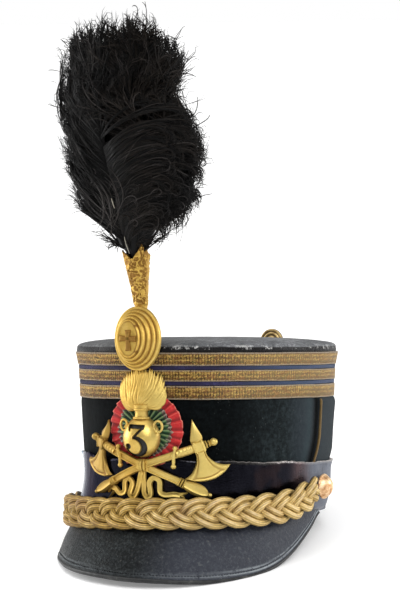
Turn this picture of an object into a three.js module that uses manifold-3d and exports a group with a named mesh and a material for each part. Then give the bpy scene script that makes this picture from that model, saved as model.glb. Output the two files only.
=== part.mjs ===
// A parade kepi with plume, cockade, grenade badge and plaited peak cord.
//
// The hat is drawn level in its own frame: millimetres, +Z up, the wearer's front at -Y,
// the lower rim of the leather band at height 0 and the middle of the head at X = Y = 0.
// At the end the whole hat is tipped back onto the floor, where it rests on the edge of its
// peak and on the rear of its rim, and is moved so that the origin is the middle of its footprint.
//
// Places on the hat are given as (angle, height, out): the angle round the head from the front,
// the height above the rim, and the distance out from the cloth. Trimmings of the front are given
// as (along, height, out), with the distance along the cloth from the front seam.

import * as THREE from 'three';
import { TessellateModifier } from 'three/addons/modifiers/TessellateModifier.js';
import { mergeVertices } from 'three/addons/utils/BufferGeometryUtils.js';
import Module from 'manifold-3d';

const wasm = await Module();
wasm.setup();

// ---------------------------------------------------------------- driving dimensions

const GAP = 0.3; // left between pieces that touch
const AROUND = 56; // facets round the head

// outer face of the cloth body, from the rim to its top edge
const BODY_ROWS = [
  { height: 0, halfWidth: 81.7 },
  { height: 30, halfWidth: 83.0 },
  { height: 60, halfWidth: 84.8 },
  { height: 87, halfWidth: 86.2 },
  { height: 100, halfWidth: 86.7 },
  { height: 108, halfWidth: 87.7 },
  { height: 113, halfWidth: 88.9 },
];
const LENGTH_TO_WIDTH = 1.21; // the head is longer than it is wide
const EGG = 0.04; // and wider at the back than at the front
const BODY_HEIGHT = 113;
const CLOTH = 2.8; // wall of the body

const CAP = { overhang: 0.6, wall: 2.0 };
// the cap's outer face: rise above the body's top edge, and share of the width left there
const CAP_ROWS = [
  { rise: 3.2, share: 1.0 },
  { rise: 5.4, share: 0.983 },
  { rise: 7.0, share: 0.95 },
  { rise: 8.2, share: 0.88 },
  { rise: 9.6, share: 0.66 },
  { rise: 10.5, share: 0.36 },
];
const CAP_TOP = 10.9; // rise of the middle of the cap

// the trimming rings round the top, from the lowest up
const TRIM_ROWS = [
  { name: 'lace_lower', low: 80.1, high: 90.3, thick: 1.3, colour: 0xa08a50, metal: 0.5 },
  { name: 'stripe_lower', low: 90.5, high: 93.5, thick: 1.0, colour: 0x3d3a6b, metal: 0 },
  { name: 'lace_middle', low: 93.7, high: 101.0, thick: 1.3, colour: 0xa08a50, metal: 0.5 },
  { name: 'stripe_upper', low: 101.2, high: 104.2, thick: 1.0, colour: 0x3d3a6b, metal: 0 },
  { name: 'lace_upper', low: 104.4, high: 112.6, thick: 1.3, colour: 0xa08a50, metal: 0.5 },
];

const BAND = { thick: 2.0, sideHeight: 34, frontRise: 6 };

const PEAK = {
  end: 88, // degrees round the head at which it dies out on each side
  reach: 29, // how far its edge stands out from the band at the front
  reachPower: 1.3,
  reachSkew: -0.2, // it is worn: the left side stands out less and hangs lower
  drop: 42.6,
  dropPower: 0.43,
  dropSkew: 0.08,
  root: 2.0, // height of its upper edge on the band
  crown: 2.5, // how far the leather bulges between root and edge
  thick: 2.0,
};
const BINDING = { width: 3.6, thick: 3.2 };

// the plaited cord, from the front round to the button, the same on both sides
const PLAIT_ROWS = [
  { angle: 0, height: 3.8, out: 13.2, lean: 16, sway: 8.7 },
  { angle: 40, height: 4.3, out: 13.2, lean: 16, sway: 8.7 },
  { angle: 65, height: 7.0, out: 12.4, lean: 13, sway: 8.4 },
  { angle: 82, height: 13.0, out: 9.6, lean: 6, sway: 7.0 },
  { angle: 93, height: 17.4, out: 7.4, lean: 0, sway: 4.6 },
];
const PLAIT = { pitch: 46.5, strands: 3, weave: 2.5, thick: 3.0, stepsPerPitch: 10 };

const BUTTON = { radius: 6.8, rise: 4.6, angle: 97, height: 17.6, shank: 1.6 }; // angle in degrees

const COCKADE = { height: 60.4, along: 1.0, out: 2.6, thick: 1.8 };
const COCKADE_ROWS = [
  { name: 'cockade_green', inner: 3.0, outer: 14.8, colour: 0x1d3a2c },
  { name: 'cockade_white', inner: 15.1, outer: 18.3, colour: 0xcfc6b4 },
  { name: 'cockade_red', inner: 18.6, outer: 26.7, colour: 0xb3202a },
];

const BADGE = { along: 2.0, plate: 2.2, bomb: 13.0, bombHeight: 54, bombRise: 10.5 };
// the badge stands off over the cockade and comes down to the leather past its edge
const BADGE_SEAT = { over: 4.9, past: 2.9, leaves: 28, reaches: 40 };
const PLATE_EDGE = 15; // longest edge of a plate before it is wrapped
const CROSSING = 35; // height at which the axes cross
const SHAFT = { radius: 2.7, top: { along: 45, height: 53.8 }, foot: { along: 46.5, height: 16.8 } };

const BOSS = { height: 121, back: -109.9, halfWidth: 18.5, halfHeight: 21.8, wall: 1.8 };
const CUP = { bottom: 143.8, back: -105.6, stem: 2.3, lean: 6 };

// outer form of the plume: height, middle to the wearer's left and to the front, half sizes
const PLUME_ROWS = [
  { height: 174.5, left: 0, front: 109, wide: 5.2, deep: 5.2 },
  { height: 179.5, left: 0, front: 109.4, wide: 7, deep: 7 },
  { height: 185, left: 0, front: 110, wide: 14, deep: 12 },
  { height: 196, left: -1, front: 111, wide: 25, deep: 19 },
  { height: 207, left: 0, front: 112, wide: 34, deep: 26 },
  { height: 222, left: 3, front: 113, wide: 43, deep: 32 },
  { height: 240, left: 0, front: 114, wide: 48, deep: 35 },
  { height: 256, left: -1, front: 114, wide: 49, deep: 36 },
  { height: 272, left: -4, front: 115, wide: 48, deep: 36 },
  { height: 286, left: -12, front: 115, wide: 45, deep: 35 },
  { height: 300, left: -11, front: 116, wide: 44, deep: 34 },
  { height: 316, left: -8, front: 116, wide: 43, deep: 32 },
  { height: 330, left: -12, front: 117, wide: 35, deep: 27 },
  { height: 338, left: -8, front: 118, wide: 24, deep: 18 },
  { height: 344, left: 0, front: 118, wide: 9, deep: 8 },
];

const REAR_BOSS = { radius: 8.3, height: 120.3, thick: 2.6, left: 3 };

// where the peak touches the floor, in degrees from its middle, and how deep the leather is pressed flat
const REST = { contactAngle: 38, flat: 0.5 };

// ---------------------------------------------------------------- the shape of the head

const radians = THREE.MathUtils.degToRad;

// Straight-line reading of one column of a table against another.
function lookUp(rows, key, column, value) {
  const last = rows.length - 1;
  const next = Math.min(Math.max(rows.findIndex((row) => row[key] > value), 1), last);
  const low = rows[value >= rows[last][key] ? last - 1 : next - 1];
  const high = rows[value >= rows[last][key] ? last : next];
  const share = THREE.MathUtils.clamp((value - low[key]) / (high[key] - low[key]), 0, 1);
  return THREE.MathUtils.lerp(low[column], high[column], share);
}

// A point of the hat from its angle round the head, its height, and how far it stands out.
function onHead(angle, height, out) {
  const width = lookUp(BODY_ROWS, 'height', 'halfWidth', height);
  const length = width * LENGTH_TO_WIDTH;
  const point = new THREE.Vector3(
    width * Math.sin(angle) * (1 - EGG * Math.cos(angle)),
    -length * Math.cos(angle),
    height,
  );
  const forward = new THREE.Vector2(
    width * (Math.cos(angle) - EGG * Math.cos(2 * angle)),
    length * Math.sin(angle),
  ).normalize();
  point.x += out * forward.y;
  point.y -= out * forward.x;
  return point;
}

// The girth of the head half way up the cloth; it turns distances along the cloth into angles.
class Girth extends THREE.Curve {
  getPoint(t, target = new THREE.Vector3()) {
    return target.copy(onHead((t - 0.5) * 2 * Math.PI, COCKADE.height, 0));
  }
}
const girth = new Girth();
girth.arcLengthDivisions = 720;
const GIRTH = girth.getLength();

function angleAt(along) {
  return (girth.getUtoTmapping(0, along + GIRTH / 2) - 0.5) * 2 * Math.PI;
}

// A point of the front from its distance along the cloth, its height and how far it stands out.
function onFront(along, height, out) {
  return onHead(angleAt(along), height, out);
}

// ---------------------------------------------------------------- geometry helpers

// A skin over rings of points. A closed loft joins the last ring to the first; an open one
// has a fan over each end.
function loft(rings, closed) {
  const count = rings[0].length;
  const points = rings.flat();
  const faces = [];
  const spans = closed ? rings.length : rings.length - 1;
  for (let i = 0; i < spans; i += 1) {
    const here = i * count;
    const next = ((i + 1) % rings.length) * count;
    for (let j = 0; j < count; j += 1) {
      const k = (j + 1) % count;
      faces.push(here + j, here + k, next + k, here + j, next + k, next + j);
    }
  }
  if (!closed) {
    const ends = [rings[0], rings[rings.length - 1]];
    ends.forEach((ring, end) => {
      const middle = new THREE.Vector3();
      ring.forEach((point) => middle.addScaledVector(point, 1 / count));
      const centre = points.push(middle) - 1;
      const start = end * (rings.length - 1) * count;
      for (let j = 0; j < count; j += 1) {
        const pair = [start + j, start + ((j + 1) % count)];
        faces.push(centre, ...(end ? pair : pair.reverse()));
      }
    });
  }
  const geometry = new THREE.BufferGeometry().setFromPoints(points);
  geometry.setIndex(faces);
  return facingOut(geometry);
}

// Turns the faces round when they enclose a negative volume.
function facingOut(geometry) {
  const place = geometry.getAttribute('position');
  const index = geometry.getIndex();
  const [a, b, c] = [new THREE.Vector3(), new THREE.Vector3(), new THREE.Vector3()];
  let volume = 0;
  for (let i = 0; i < index.count; i += 3) {
    a.fromBufferAttribute(place, index.getX(i));
    b.fromBufferAttribute(place, index.getX(i + 1));
    c.fromBufferAttribute(place, index.getX(i + 2));
    volume += a.dot(b.cross(c));
  }
  if (volume < 0) {
    for (let i = 0; i < index.count; i += 3) {
      const swap = index.getX(i + 1);
      index.setX(i + 1, index.getX(i + 2));
      index.setX(i + 2, swap);
    }
  }
  return geometry;
}

// A three.js shape with its shared corners merged and its flat slivers dropped.
function welded(source) {
  const bare = source.clone();
  Object.keys(bare.attributes)
    .filter((name) => name !== 'position')
    .forEach((name) => bare.deleteAttribute(name));
  const merged = mergeVertices(bare, 1e-4);
  const index = Array.from(merged.getIndex().array);
  const kept = [];
  for (let i = 0; i < index.length; i += 3) {
    const [a, b, c] = index.slice(i, i + 3);
    if (a !== b && b !== c && c !== a) kept.push(a, b, c);
  }
  merged.setIndex(kept);
  return merged;
}

// A profile of (radius, height) pairs turned round the Y axis, as a closed body facing out.
function revolved(profile, segments) {
  const turned = new THREE.LatheGeometry(profile.map(([x, y]) => new THREE.Vector2(x, y)), segments);
  return facingOut(welded(turned));
}

// Every corner moved by a rule that takes and gives a point.
function bent(source, rule) {
  const geometry = welded(source);
  const place = geometry.getAttribute('position');
  const point = new THREE.Vector3();
  for (let i = 0; i < place.count; i += 1) {
    point.copy(rule(point.fromBufferAttribute(place, i)));
    place.setXYZ(i, point.x, point.y, point.z);
  }
  return facingOut(geometry);
}

function solid(geometry) {
  const merged = welded(geometry);
  return new wasm.Manifold(new wasm.Mesh({
    numProp: 3,
    vertProperties: new Float32Array(merged.getAttribute('position').array),
    triVerts: new Uint32Array(merged.getIndex().array),
  }));
}

function geometryOf(body) {
  const mesh = body.getMesh();
  const geometry = new THREE.BufferGeometry();
  geometry.setAttribute('position', new THREE.BufferAttribute(mesh.vertProperties, 3));
  geometry.setIndex(new THREE.BufferAttribute(mesh.triVerts, 1));
  return geometry;
}

function joined(geometries) {
  return geometryOf(geometries.map(solid).reduce((sum, next) => sum.add(next)));
}

// ---------------------------------------------------------------- where the hat rests

function peakDrop(angle) {
  const share = Math.max(Math.cos(angle), 0);
  return PEAK.drop * share ** PEAK.dropPower * (1 + PEAK.dropSkew * Math.sin(angle));
}

function peakReach(angle) {
  const share = Math.max(Math.cos(angle), 0);
  const flare = PEAK.reach * share ** PEAK.reachPower * (1 + PEAK.reachSkew * Math.sin(angle));
  return BAND.thick + GAP + PEAK.thick + flare;
}

// The visible edge of the peak.
function peakEdge(angle) {
  return onHead(angle, 0, peakReach(angle)).setZ(-peakDrop(angle));
}

const contact = radians(REST.contactAngle);
const rimRear = onHead(Math.PI, 0, GAP + BAND.thick);
const floorPlane = new THREE.Plane().setFromCoplanarPoints(peakEdge(-contact), peakEdge(contact), rimRear);
if (floorPlane.normal.z < 0) floorPlane.negate();
floorPlane.constant -= REST.flat;

const tip = new THREE.Quaternion().setFromUnitVectors(floorPlane.normal, new THREE.Vector3(0, 0, 1));

// Leather that touches the floor is pressed flat: all that lies below the floor is cut off.
function flattened(geometry) {
  const size = 1000;
  const block = new THREE.BoxGeometry(size, size, size).translate(0, 0, -size / 2);
  block.applyQuaternion(tip.clone().invert());
  const onFloor = floorPlane.coplanarPoint(new THREE.Vector3());
  block.translate(onFloor.x, onFloor.y, onFloor.z);
  return geometryOf(solid(geometry).subtract(solid(block)));
}

// ---------------------------------------------------------------- cloth body, cap and trimmings

// A ring round the head from a section that gives (out, height) pairs at each angle.
function ringOfSections(section) {
  const rings = [];
  for (let i = 0; i < AROUND; i += 1) {
    const angle = (i / AROUND) * 2 * Math.PI;
    rings.push(section(angle).map(([out, height]) => onHead(angle, height, out)));
  }
  return loft(rings, true);
}

function crownBody() {
  const heights = [1.2, 36, 78, 100, 107.5, BODY_HEIGHT - GAP];
  const outer = heights.map((height) => [0, height]);
  const inner = heights.map((height) => [-CLOTH, height]).reverse();
  return ringOfSections(() => [...outer, ...inner]);
}

// The cap is a shallow lid: its rim stands on the body, and it is hollow below.
function crownTop() {
  const ring = (share, rise, out) => {
    const points = [];
    for (let i = 0; i < AROUND; i += 1) {
      const point = onHead((i / AROUND) * 2 * Math.PI, BODY_HEIGHT, out);
      points.push(new THREE.Vector3(point.x * share, point.y * share, BODY_HEIGHT + rise));
    }
    return points;
  };
  const outer = CAP_ROWS.map(({ share, rise }) => ring(share, rise, CAP.overhang));
  const inner = CAP_ROWS
    .filter((row, i) => i % 2)
    .map(({ share, rise }) => ring(share, rise - CAP.wall, CAP.overhang - CAP.wall));
  return loft([
    ring(0.04, CAP_TOP - CAP.wall, 0),
    ...inner.reverse(),
    ring(1, 0, CAP.overhang - CAP.wall),
    ring(1, 0, CAP.overhang),
    ...outer,
    ring(0.04, CAP_TOP, 0),
  ], false);
}

function trimRing({ low, high, thick }) {
  const section = [[GAP, low], [GAP + thick, low], [GAP + thick, high], [GAP, high]];
  return ringOfSections(() => section);
}

function bandTop(angle) {
  return BAND.sideHeight + BAND.frontRise * Math.max(Math.cos(angle), 0) ** 2;
}

function leatherBand() {
  return flattened(ringOfSections((angle) => {
    const top = bandTop(angle);
    return [
      [GAP, 0],
      [GAP + BAND.thick, 0],
      [GAP + BAND.thick, top / 2],
      [GAP + BAND.thick, top],
      [GAP, top],
      [GAP, top / 2],
    ];
  }));
}

// ---------------------------------------------------------------- peak

// A point of the peak's leather: share 0 at the band and 1 at the edge, deep below its top face.
function onPeak(angle, share, deep) {
  const reach = peakReach(angle);
  const drop = peakDrop(angle);
  const start = new THREE.Vector2(BAND.thick + 2 * GAP + PEAK.thick, PEAK.root);
  const end = new THREE.Vector2(reach, -drop);
  const down = end.clone().sub(start);
  const across = new THREE.Vector2(-down.y, down.x).normalize();
  const bulge = PEAK.crown * Math.sin(Math.PI * share) * (down.length() / (PEAK.drop + PEAK.root));
  const place = start.clone().addScaledVector(down, share).addScaledVector(across, bulge - deep);
  return onHead(angle, 0, place.x).setZ(place.y);
}

function peakPlate() {
  const columns = 44;
  const shares = [0, 0.25, 0.5, 0.75, 1];
  const rings = [];
  for (let i = 0; i <= columns; i += 1) {
    const angle = radians(THREE.MathUtils.lerp(-PEAK.end, PEAK.end, i / columns));
    const length = Math.hypot(peakReach(angle), peakDrop(angle) + PEAK.root);
    const stop = 1 - (BINDING.width + GAP) / length;
    const top = shares.map((share) => onPeak(angle, share * stop, 0));
    const under = shares.map((share) => onPeak(angle, share * stop, PEAK.thick)).reverse();
    rings.push([...top, ...under]);
  }
  return loft(rings, false);
}

// The rolled edging is a stadium section carried along the edge of the peak.
function peakBinding() {
  const columns = 60;
  const sides = 8;
  const rings = [];
  for (let i = 0; i <= columns; i += 1) {
    const angle = radians(THREE.MathUtils.lerp(-PEAK.end, PEAK.end, i / columns));
    const length = Math.hypot(peakReach(angle), peakDrop(angle) + PEAK.root);
    const ring = [];
    for (let j = 0; j < sides; j += 1) {
      const turn = ((j + 0.5) / sides) * 2 * Math.PI;
      const share = 1 - (BINDING.width / 2) * (1 - Math.cos(turn) / Math.cos(Math.PI / sides)) / length;
      const deep = PEAK.thick / 2 + (BINDING.thick / 2) * Math.sin(turn);
      ring.push(onPeak(angle, share, deep));
    }
    rings.push(ring);
  }
  return flattened(loft(rings, false));
}

// ---------------------------------------------------------------- plaited cord and its buttons

// Middle, lean and sway of the plait at an angle.
function plaitFrame(angle) {
  const side = Math.abs(THREE.MathUtils.radToDeg(angle));
  const read = (column) => lookUp(PLAIT_ROWS, 'angle', column, side);
  return { height: read('height'), out: read('out'), lean: radians(read('lean')), sway: read('sway') };
}

// A point of the plait: across its width towards the top, and up out of its face.
function onPlait(angle, across, up) {
  const { height, out, lean } = plaitFrame(angle);
  const rise = across * Math.cos(lean) + up * Math.sin(lean);
  const stand = up * Math.cos(lean) - across * Math.sin(lean);
  return onHead(angle, 0, out + stand).setZ(height + rise);
}

// Each strand swings from side to side once a pitch and over and under twice.
function plaitStrand(number) {
  const end = radians(PLAIT_ROWS[PLAIT_ROWS.length - 1].angle);
  const reach = girth.getLength() * (end / Math.PI) * 0.5;
  const turns = (2 * reach) / PLAIT.pitch;
  const steps = Math.round(turns * PLAIT.stepsPerPitch);
  const sides = 6;
  const rings = [];
  for (let i = 0; i <= steps; i += 1) {
    const share = i / steps;
    const angle = THREE.MathUtils.lerp(-end, end, share);
    const swing = 2 * Math.PI * (turns * share + number / PLAIT.strands);
    const { sway } = plaitFrame(angle);
    const across = sway * Math.sin(swing);
    const up = PLAIT.weave * Math.sin(2 * swing);
    // the strand is a flat bundle, turned in its plane to follow its own route
    const slope = Math.atan2(sway * Math.cos(swing) * 2 * Math.PI, PLAIT.pitch);
    const half = 0.42 * sway;
    const ring = [];
    for (let j = 0; j < sides; j += 1) {
      const turn = (j / sides) * 2 * Math.PI;
      const wide = half * Math.cos(turn);
      const along = -wide * Math.sin(slope);
      const shift = (2 * end * along) / (2 * reach);
      ring.push(onPlait(angle + shift, across + wide * Math.cos(slope), up + (PLAIT.thick / 2) * Math.sin(turn)));
    }
    rings.push(ring);
  }
  return loft(rings, false);
}

// A domed button with a short shank, drawn on the Y axis and then turned to face away from the head.
function sideButton(side) {
  const profile = revolved([
    [0, -BUTTON.shank], [2.2, -BUTTON.shank], [2.2, -0.6], [BUTTON.radius - 0.8, -0.6], [BUTTON.radius, 0.2],
    [BUTTON.radius - 0.5, 1.4], [BUTTON.radius * 0.72, 3.2], [BUTTON.radius * 0.38, 4.3], [0, BUTTON.rise],
  ], 20);
  const angle = side * radians(BUTTON.angle);
  const foot = onHead(angle, BUTTON.height, 0);
  const away = onHead(angle, BUTTON.height, 1).sub(foot);
  const turn = new THREE.Quaternion().setFromUnitVectors(new THREE.Vector3(0, 1, 0), away);
  const seat = foot.addScaledVector(away, BAND.thick + 2 * GAP + BUTTON.shank);
  const rule = (point) => point.applyQuaternion(turn).add(seat);
  return bent(profile, rule);
}

// A thin cord down the middle of each side, from the lace to the leather.
function sideCord(side) {
  const radius = 1.3;
  const steps = 4;
  const top = { angle: 92.5, height: TRIM_ROWS[0].low - GAP };
  const foot = { angle: 88, height: BAND.sideHeight + GAP };
  const rings = [];
  for (let i = 0; i <= steps; i += 1) {
    const angle = side * radians(THREE.MathUtils.lerp(foot.angle, top.angle, i / steps));
    const height = THREE.MathUtils.lerp(foot.height, top.height, i / steps);
    const centre = onHead(angle, height, GAP + radius);
    const away = onHead(angle, height, GAP + radius + 1).sub(centre);
    const ring = [];
    for (let j = 0; j < 8; j += 1) {
      const turn = (j / 8) * 2 * Math.PI;
      const sideways = new THREE.Vector3(-away.y, away.x, 0).multiplyScalar(radius * Math.sin(turn));
      ring.push(centre.clone().addScaledVector(away, radius * Math.cos(turn)).add(sideways));
    }
    rings.push(ring);
  }
  return loft(rings, false);
}

// ---------------------------------------------------------------- cockade and badge

function cockadeRing({ inner, outer }) {
  const steps = 36;
  const rings = [];
  for (let i = 0; i < steps; i += 1) {
    const turn = (i / steps) * 2 * Math.PI;
    const corner = (radius, out) => onFront(
      COCKADE.along + radius * Math.cos(turn),
      COCKADE.height + radius * Math.sin(turn),
      out,
    );
    const front = COCKADE.out + COCKADE.thick;
    rings.push([corner(inner, COCKADE.out), corner(outer, COCKADE.out), corner(outer, front), corner(inner, front)]);
  }
  return loft(rings, true);
}

// Drawn flat as (along, height, out) and then wrapped round the front of the hat.
function wrapped(geometry) {
  return bent(geometry, (point) => {
    const along = BADGE.along + point.x;
    const away = Math.hypot(along - COCKADE.along, Math.min(point.y - COCKADE.height, 0));
    const lowered = THREE.MathUtils.smoothstep(away, BADGE_SEAT.leaves, BADGE_SEAT.reaches);
    const seat = THREE.MathUtils.lerp(BADGE_SEAT.over, BADGE_SEAT.past, lowered);
    return onFront(along, point.y, seat + point.z);
  });
}

// A plate has its long edges split, so that it can follow the curve of the front.
function plate(corners, thick) {
  const outline = new THREE.Shape(corners.map(([x, y]) => new THREE.Vector2(x, y)));
  const flat = new THREE.ExtrudeGeometry(outline, { depth: thick, bevelEnabled: false, steps: 1 });
  return new TessellateModifier(PLATE_EDGE, 10).modify(flat);
}

function rod(points, radius, steps, sides = 8) {
  const route = new THREE.CatmullRomCurve3(points.map(([x, y, z]) => new THREE.Vector3(x, y, z)));
  const section = new THREE.Shape();
  for (let j = 0; j < sides; j += 1) {
    const turn = (j / sides) * 2 * Math.PI;
    section[j ? 'lineTo' : 'moveTo'](radius * Math.cos(turn), radius * Math.sin(turn));
  }
  return new THREE.ExtrudeGeometry(section, { steps, extrudePath: route, bevelEnabled: false });
}

// The flame above the bomb: a narrow neck, a round belly and a ragged crest.
function flame() {
  const half = [[4.5, 66], [6.5, 73], [13.5, 76.5], [18, 84], [18.4, 91], [15.8, 96.6], [12.6, 92.6], [9.2, 98.2],
    [6, 94.4], [3, 98.6]];
  const mirrored = half.map(([x, y]) => [-x, y]).reverse();
  return plate([...half, [0, 95.4], ...mirrored], BADGE.plate + 1.4);
}

function bomb() {
  const profile = [[0, 0], [BADGE.bomb, 0]];
  for (let i = 1; i < 6; i += 1) {
    const turn = (i / 6) * (Math.PI / 2);
    profile.push([BADGE.bomb * Math.cos(turn), BADGE.bombRise * Math.sin(turn)]);
  }
  profile.push([0, BADGE.bombRise]);
  return revolved(profile, 20).rotateX(Math.PI / 2).translate(0, BADGE.bombHeight, 0);
}

function ear(side) {
  return new THREE.TorusGeometry(3.1, 1.1, 6, 12).translate(side * 13.4, 63.2, 2.2);
}

// One axe, drawn with its head at the wearer's left for side +1.
function axe(side) {
  const mirror = (corners) => corners.map(([x, y]) => [side * x, y]);
  const { top, foot, radius } = SHAFT;
  const lift = side > 0 ? 3.6 : 2.9; // one shaft lies over the other
  const shaft = rod([
    [side * top.along, top.height, 2.9],
    [0, CROSSING, lift],
    [-side * foot.along, foot.height, 2.9],
  ], radius, 12);
  const blade = plate(mirror([[44, 52.6], [52, 42.4], [59.2, 38], [55.8, 32.6], [49.6, 28.4], [41.6, 26.2], [32.4, 27.4],
    [38.6, 32.6], [38.4, 38.4], [30, 46.6]]), BADGE.plate);
  const spike = plate(mirror([[26, 44.6], [38, 49.6], [32.8, 58], [29.4, 68], [25.2, 56]]), BADGE.plate);
  const knob = new THREE.SphereGeometry(3.3, 10, 6).translate(side * top.along, top.height, 3.5);
  const butt = new THREE.SphereGeometry(3.3, 10, 6).translate(-side * foot.along, foot.height + 0.6, 3.5);
  return [shaft, blade, spike, knob, butt];
}

// The knotted ribbon under the crossing: a binding, a tail and a wavy end on each side.
function ribbon() {
  const binding = plate([[-5, 42.5], [-5.4, 29], [5.4, 29], [5, 42.5]], 5.6);
  const tail = plate([[-1.6, 32], [-4, 18], [4, 18], [1.6, 32]], 2.2);
  const ends = [-1, 1].map((side) => rod([
    [side * 3, 27, 1.9], [side * 8, 29.4, 1.9], [side * 11, 24, 1.9], [side * 13, 19.6, 1.9],
    [side * 19, 21.4, 1.9], [side * 26, 18.8, 1.9],
  ], 1.7, 12, 6));
  return [binding, tail, ...ends];
}

function badge() {
  const parts = [flame(), bomb(), ear(1), ear(-1), ...axe(1), ...axe(-1), ...ribbon()];
  return joined(parts.map(wrapped));
}

// ---------------------------------------------------------------- bosses, cup and plume

// The front boss is a hollow oval: a broad back ring, three steps and a dished middle.
function frontBoss() {
  const w = BOSS.wall;
  const profile = [
    [1.0, 0], [1.0, 3.4], [0.93, 5.6], [0.9, 8.6], [0.82, 10.2], [0.78, 13.2], [0.7, 15.0], [0.62, 16.2],
    [0.54, 15.0], [0.5, 12.2], [0, 12.2],
  ].map(([share, depth]) => [share * BOSS.halfHeight, depth]);
  const hollow = [[0, 12.2 - w], [0.5 * BOSS.halfHeight, 12.2 - w], [0.64 * BOSS.halfHeight, 12.6 - w],
    [0.86 * BOSS.halfHeight, 8.4 - w], [BOSS.halfHeight - w, 3.2 - w], [BOSS.halfHeight - w, 0]];
  const shell = revolved([...profile, ...hollow, profile[0]], 28)
    .rotateX(Math.PI)
    .scale(BOSS.halfWidth / BOSS.halfHeight, 1, 1)
    .translate(0, BOSS.back, BOSS.height);
  const bars = [[3.4, 13], [10, 3.6]].map(([wide, tall]) => new THREE.BoxGeometry(wide, 2.6, tall)
    .translate(0, BOSS.back - 12.4, BOSS.height));
  return joined([shell, ...bars]);
}

// The cup opens upward like a flower, and its stem goes down behind the front boss.
function plumeCup() {
  const profile = [
    [0, 0], [4.9, 0], [5.2, 2], [4.2, 4.5], [4.4, 9], [5.6, 16], [7.2, 25], [9.2, 35.5], [7.6, 35.5], [5.4, 24],
    [0, 20],
  ];
  const cup = revolved(profile, 20)
    .rotateX(Math.PI / 2 + radians(CUP.lean))
    .translate(0, CUP.back, CUP.bottom);
  const stem = rod([
    [0, CUP.back - 1, CUP.bottom + 1], [0, CUP.back - 1.2, CUP.bottom - 4], [0, CUP.back - 4.4, CUP.bottom - 12],
    [0, CUP.back - 7.4, CUP.bottom - 20],
  ], CUP.stem, 8);
  return joined([cup, stem]);
}

function plume() {
  const sides = 18;
  const rings = PLUME_ROWS.map(({ height, left, front, wide, deep }) => {
    const ring = [];
    for (let j = 0; j < sides; j += 1) {
      const turn = (j / sides) * 2 * Math.PI;
      ring.push(new THREE.Vector3(left + wide * Math.cos(turn), -front + deep * Math.sin(turn), height));
    }
    return ring;
  });
  return loft(rings, false);
}

function rearBoss() {
  const r = REAR_BOSS.radius;
  const half = REAR_BOSS.thick / 2;
  const profile = [[0, -half], [r * 0.9, -half], [r, -half * 0.5], [r, half * 0.5], [r * 0.88, half], [r * 0.72, half * 0.6],
    [r * 0.56, half], [r * 0.36, half * 0.6], [0, half]];
  const seat = onHead(Math.PI, BODY_HEIGHT, 2 * GAP + TRIM_ROWS[0].thick + half);
  return revolved(profile, 24).translate(REAR_BOSS.left, seat.y, REAR_BOSS.height);
}

// ---------------------------------------------------------------- the hat

const FINISHES = {
  cloth: { color: 0x17221f, roughness: 0.95, metalness: 0 },
  patent: { color: 0x101012, roughness: 0.3, metalness: 0 },
  leather: { color: 0x1d1e1f, roughness: 0.55, metalness: 0 },
  gilt: { color: 0xc9a24a, roughness: 0.35, metalness: 0.9 },
  copper: { color: 0xc98a6a, roughness: 0.4, metalness: 0.85 },
  cord: { color: 0xa98d4e, roughness: 0.6, metalness: 0.5 },
  feather: { color: 0x0c0d10, roughness: 0.8, metalness: 0 },
};

const hat = new THREE.Group();

function add(name, geometry, finish) {
  const mesh = new THREE.Mesh(geometry, new THREE.MeshStandardMaterial(finish));
  mesh.name = name;
  hat.add(mesh);
}

add('crown_body', crownBody(), FINISHES.cloth);
add('crown_top', crownTop(), FINISHES.patent);
TRIM_ROWS.forEach((row) => add(row.name, trimRing(row), { color: row.colour, roughness: 0.7, metalness: row.metal }));
add('leather_band', leatherBand(), FINISHES.leather);
add('peak', peakPlate(), FINISHES.leather);
add('peak_binding', peakBinding(), FINISHES.leather);
for (let number = 0; number < PLAIT.strands; number += 1) {
  add(`braid_strand_${number + 1}`, plaitStrand(number), FINISHES.cord);
}
add('side_button_left', sideButton(1), FINISHES.copper);
add('side_button_right', sideButton(-1), FINISHES.copper);
add('side_cord_left', sideCord(1), FINISHES.cord);
add('side_cord_right', sideCord(-1), FINISHES.cord);
COCKADE_ROWS.forEach((row) => add(row.name, cockadeRing(row), { color: row.colour, roughness: 0.8, metalness: 0 }));
add('badge', badge(), FINISHES.gilt);
add('front_boss', frontBoss(), FINISHES.gilt);
add('plume_cup', plumeCup(), FINISHES.gilt);
add('plume', plume(), FINISHES.feather);
add('rear_boss', rearBoss(), FINISHES.gilt);

// tip the hat back onto the floor and centre its footprint on the origin
hat.quaternion.copy(tip);
const kepi = new THREE.Group();
kepi.add(hat);
const box = new THREE.Box3().setFromObject(kepi, true);
hat.position.set(-(box.min.x + box.max.x) / 2, -(box.min.y + box.max.y) / 2, -box.min.z);

export default kepi;
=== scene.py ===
# %% [markdown]
# # A parade kepi, surface by surface
#
# The hat is a cloth drum on a leather band, with a peak in front, a domed leather cap on top and a
# front dressed in gilt: a plume in its cup, an oval boss, a ribbon cockade and a grenade badge.
# Every piece here is a surface worked out with numpy. It is drawn in the hat's own frame, which is
# level and in millimetres, and is then carried to the floor, where the hat rests tipped back on
# the edge of its peak.

# %% Load the fixed frame
from math import comb

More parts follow.
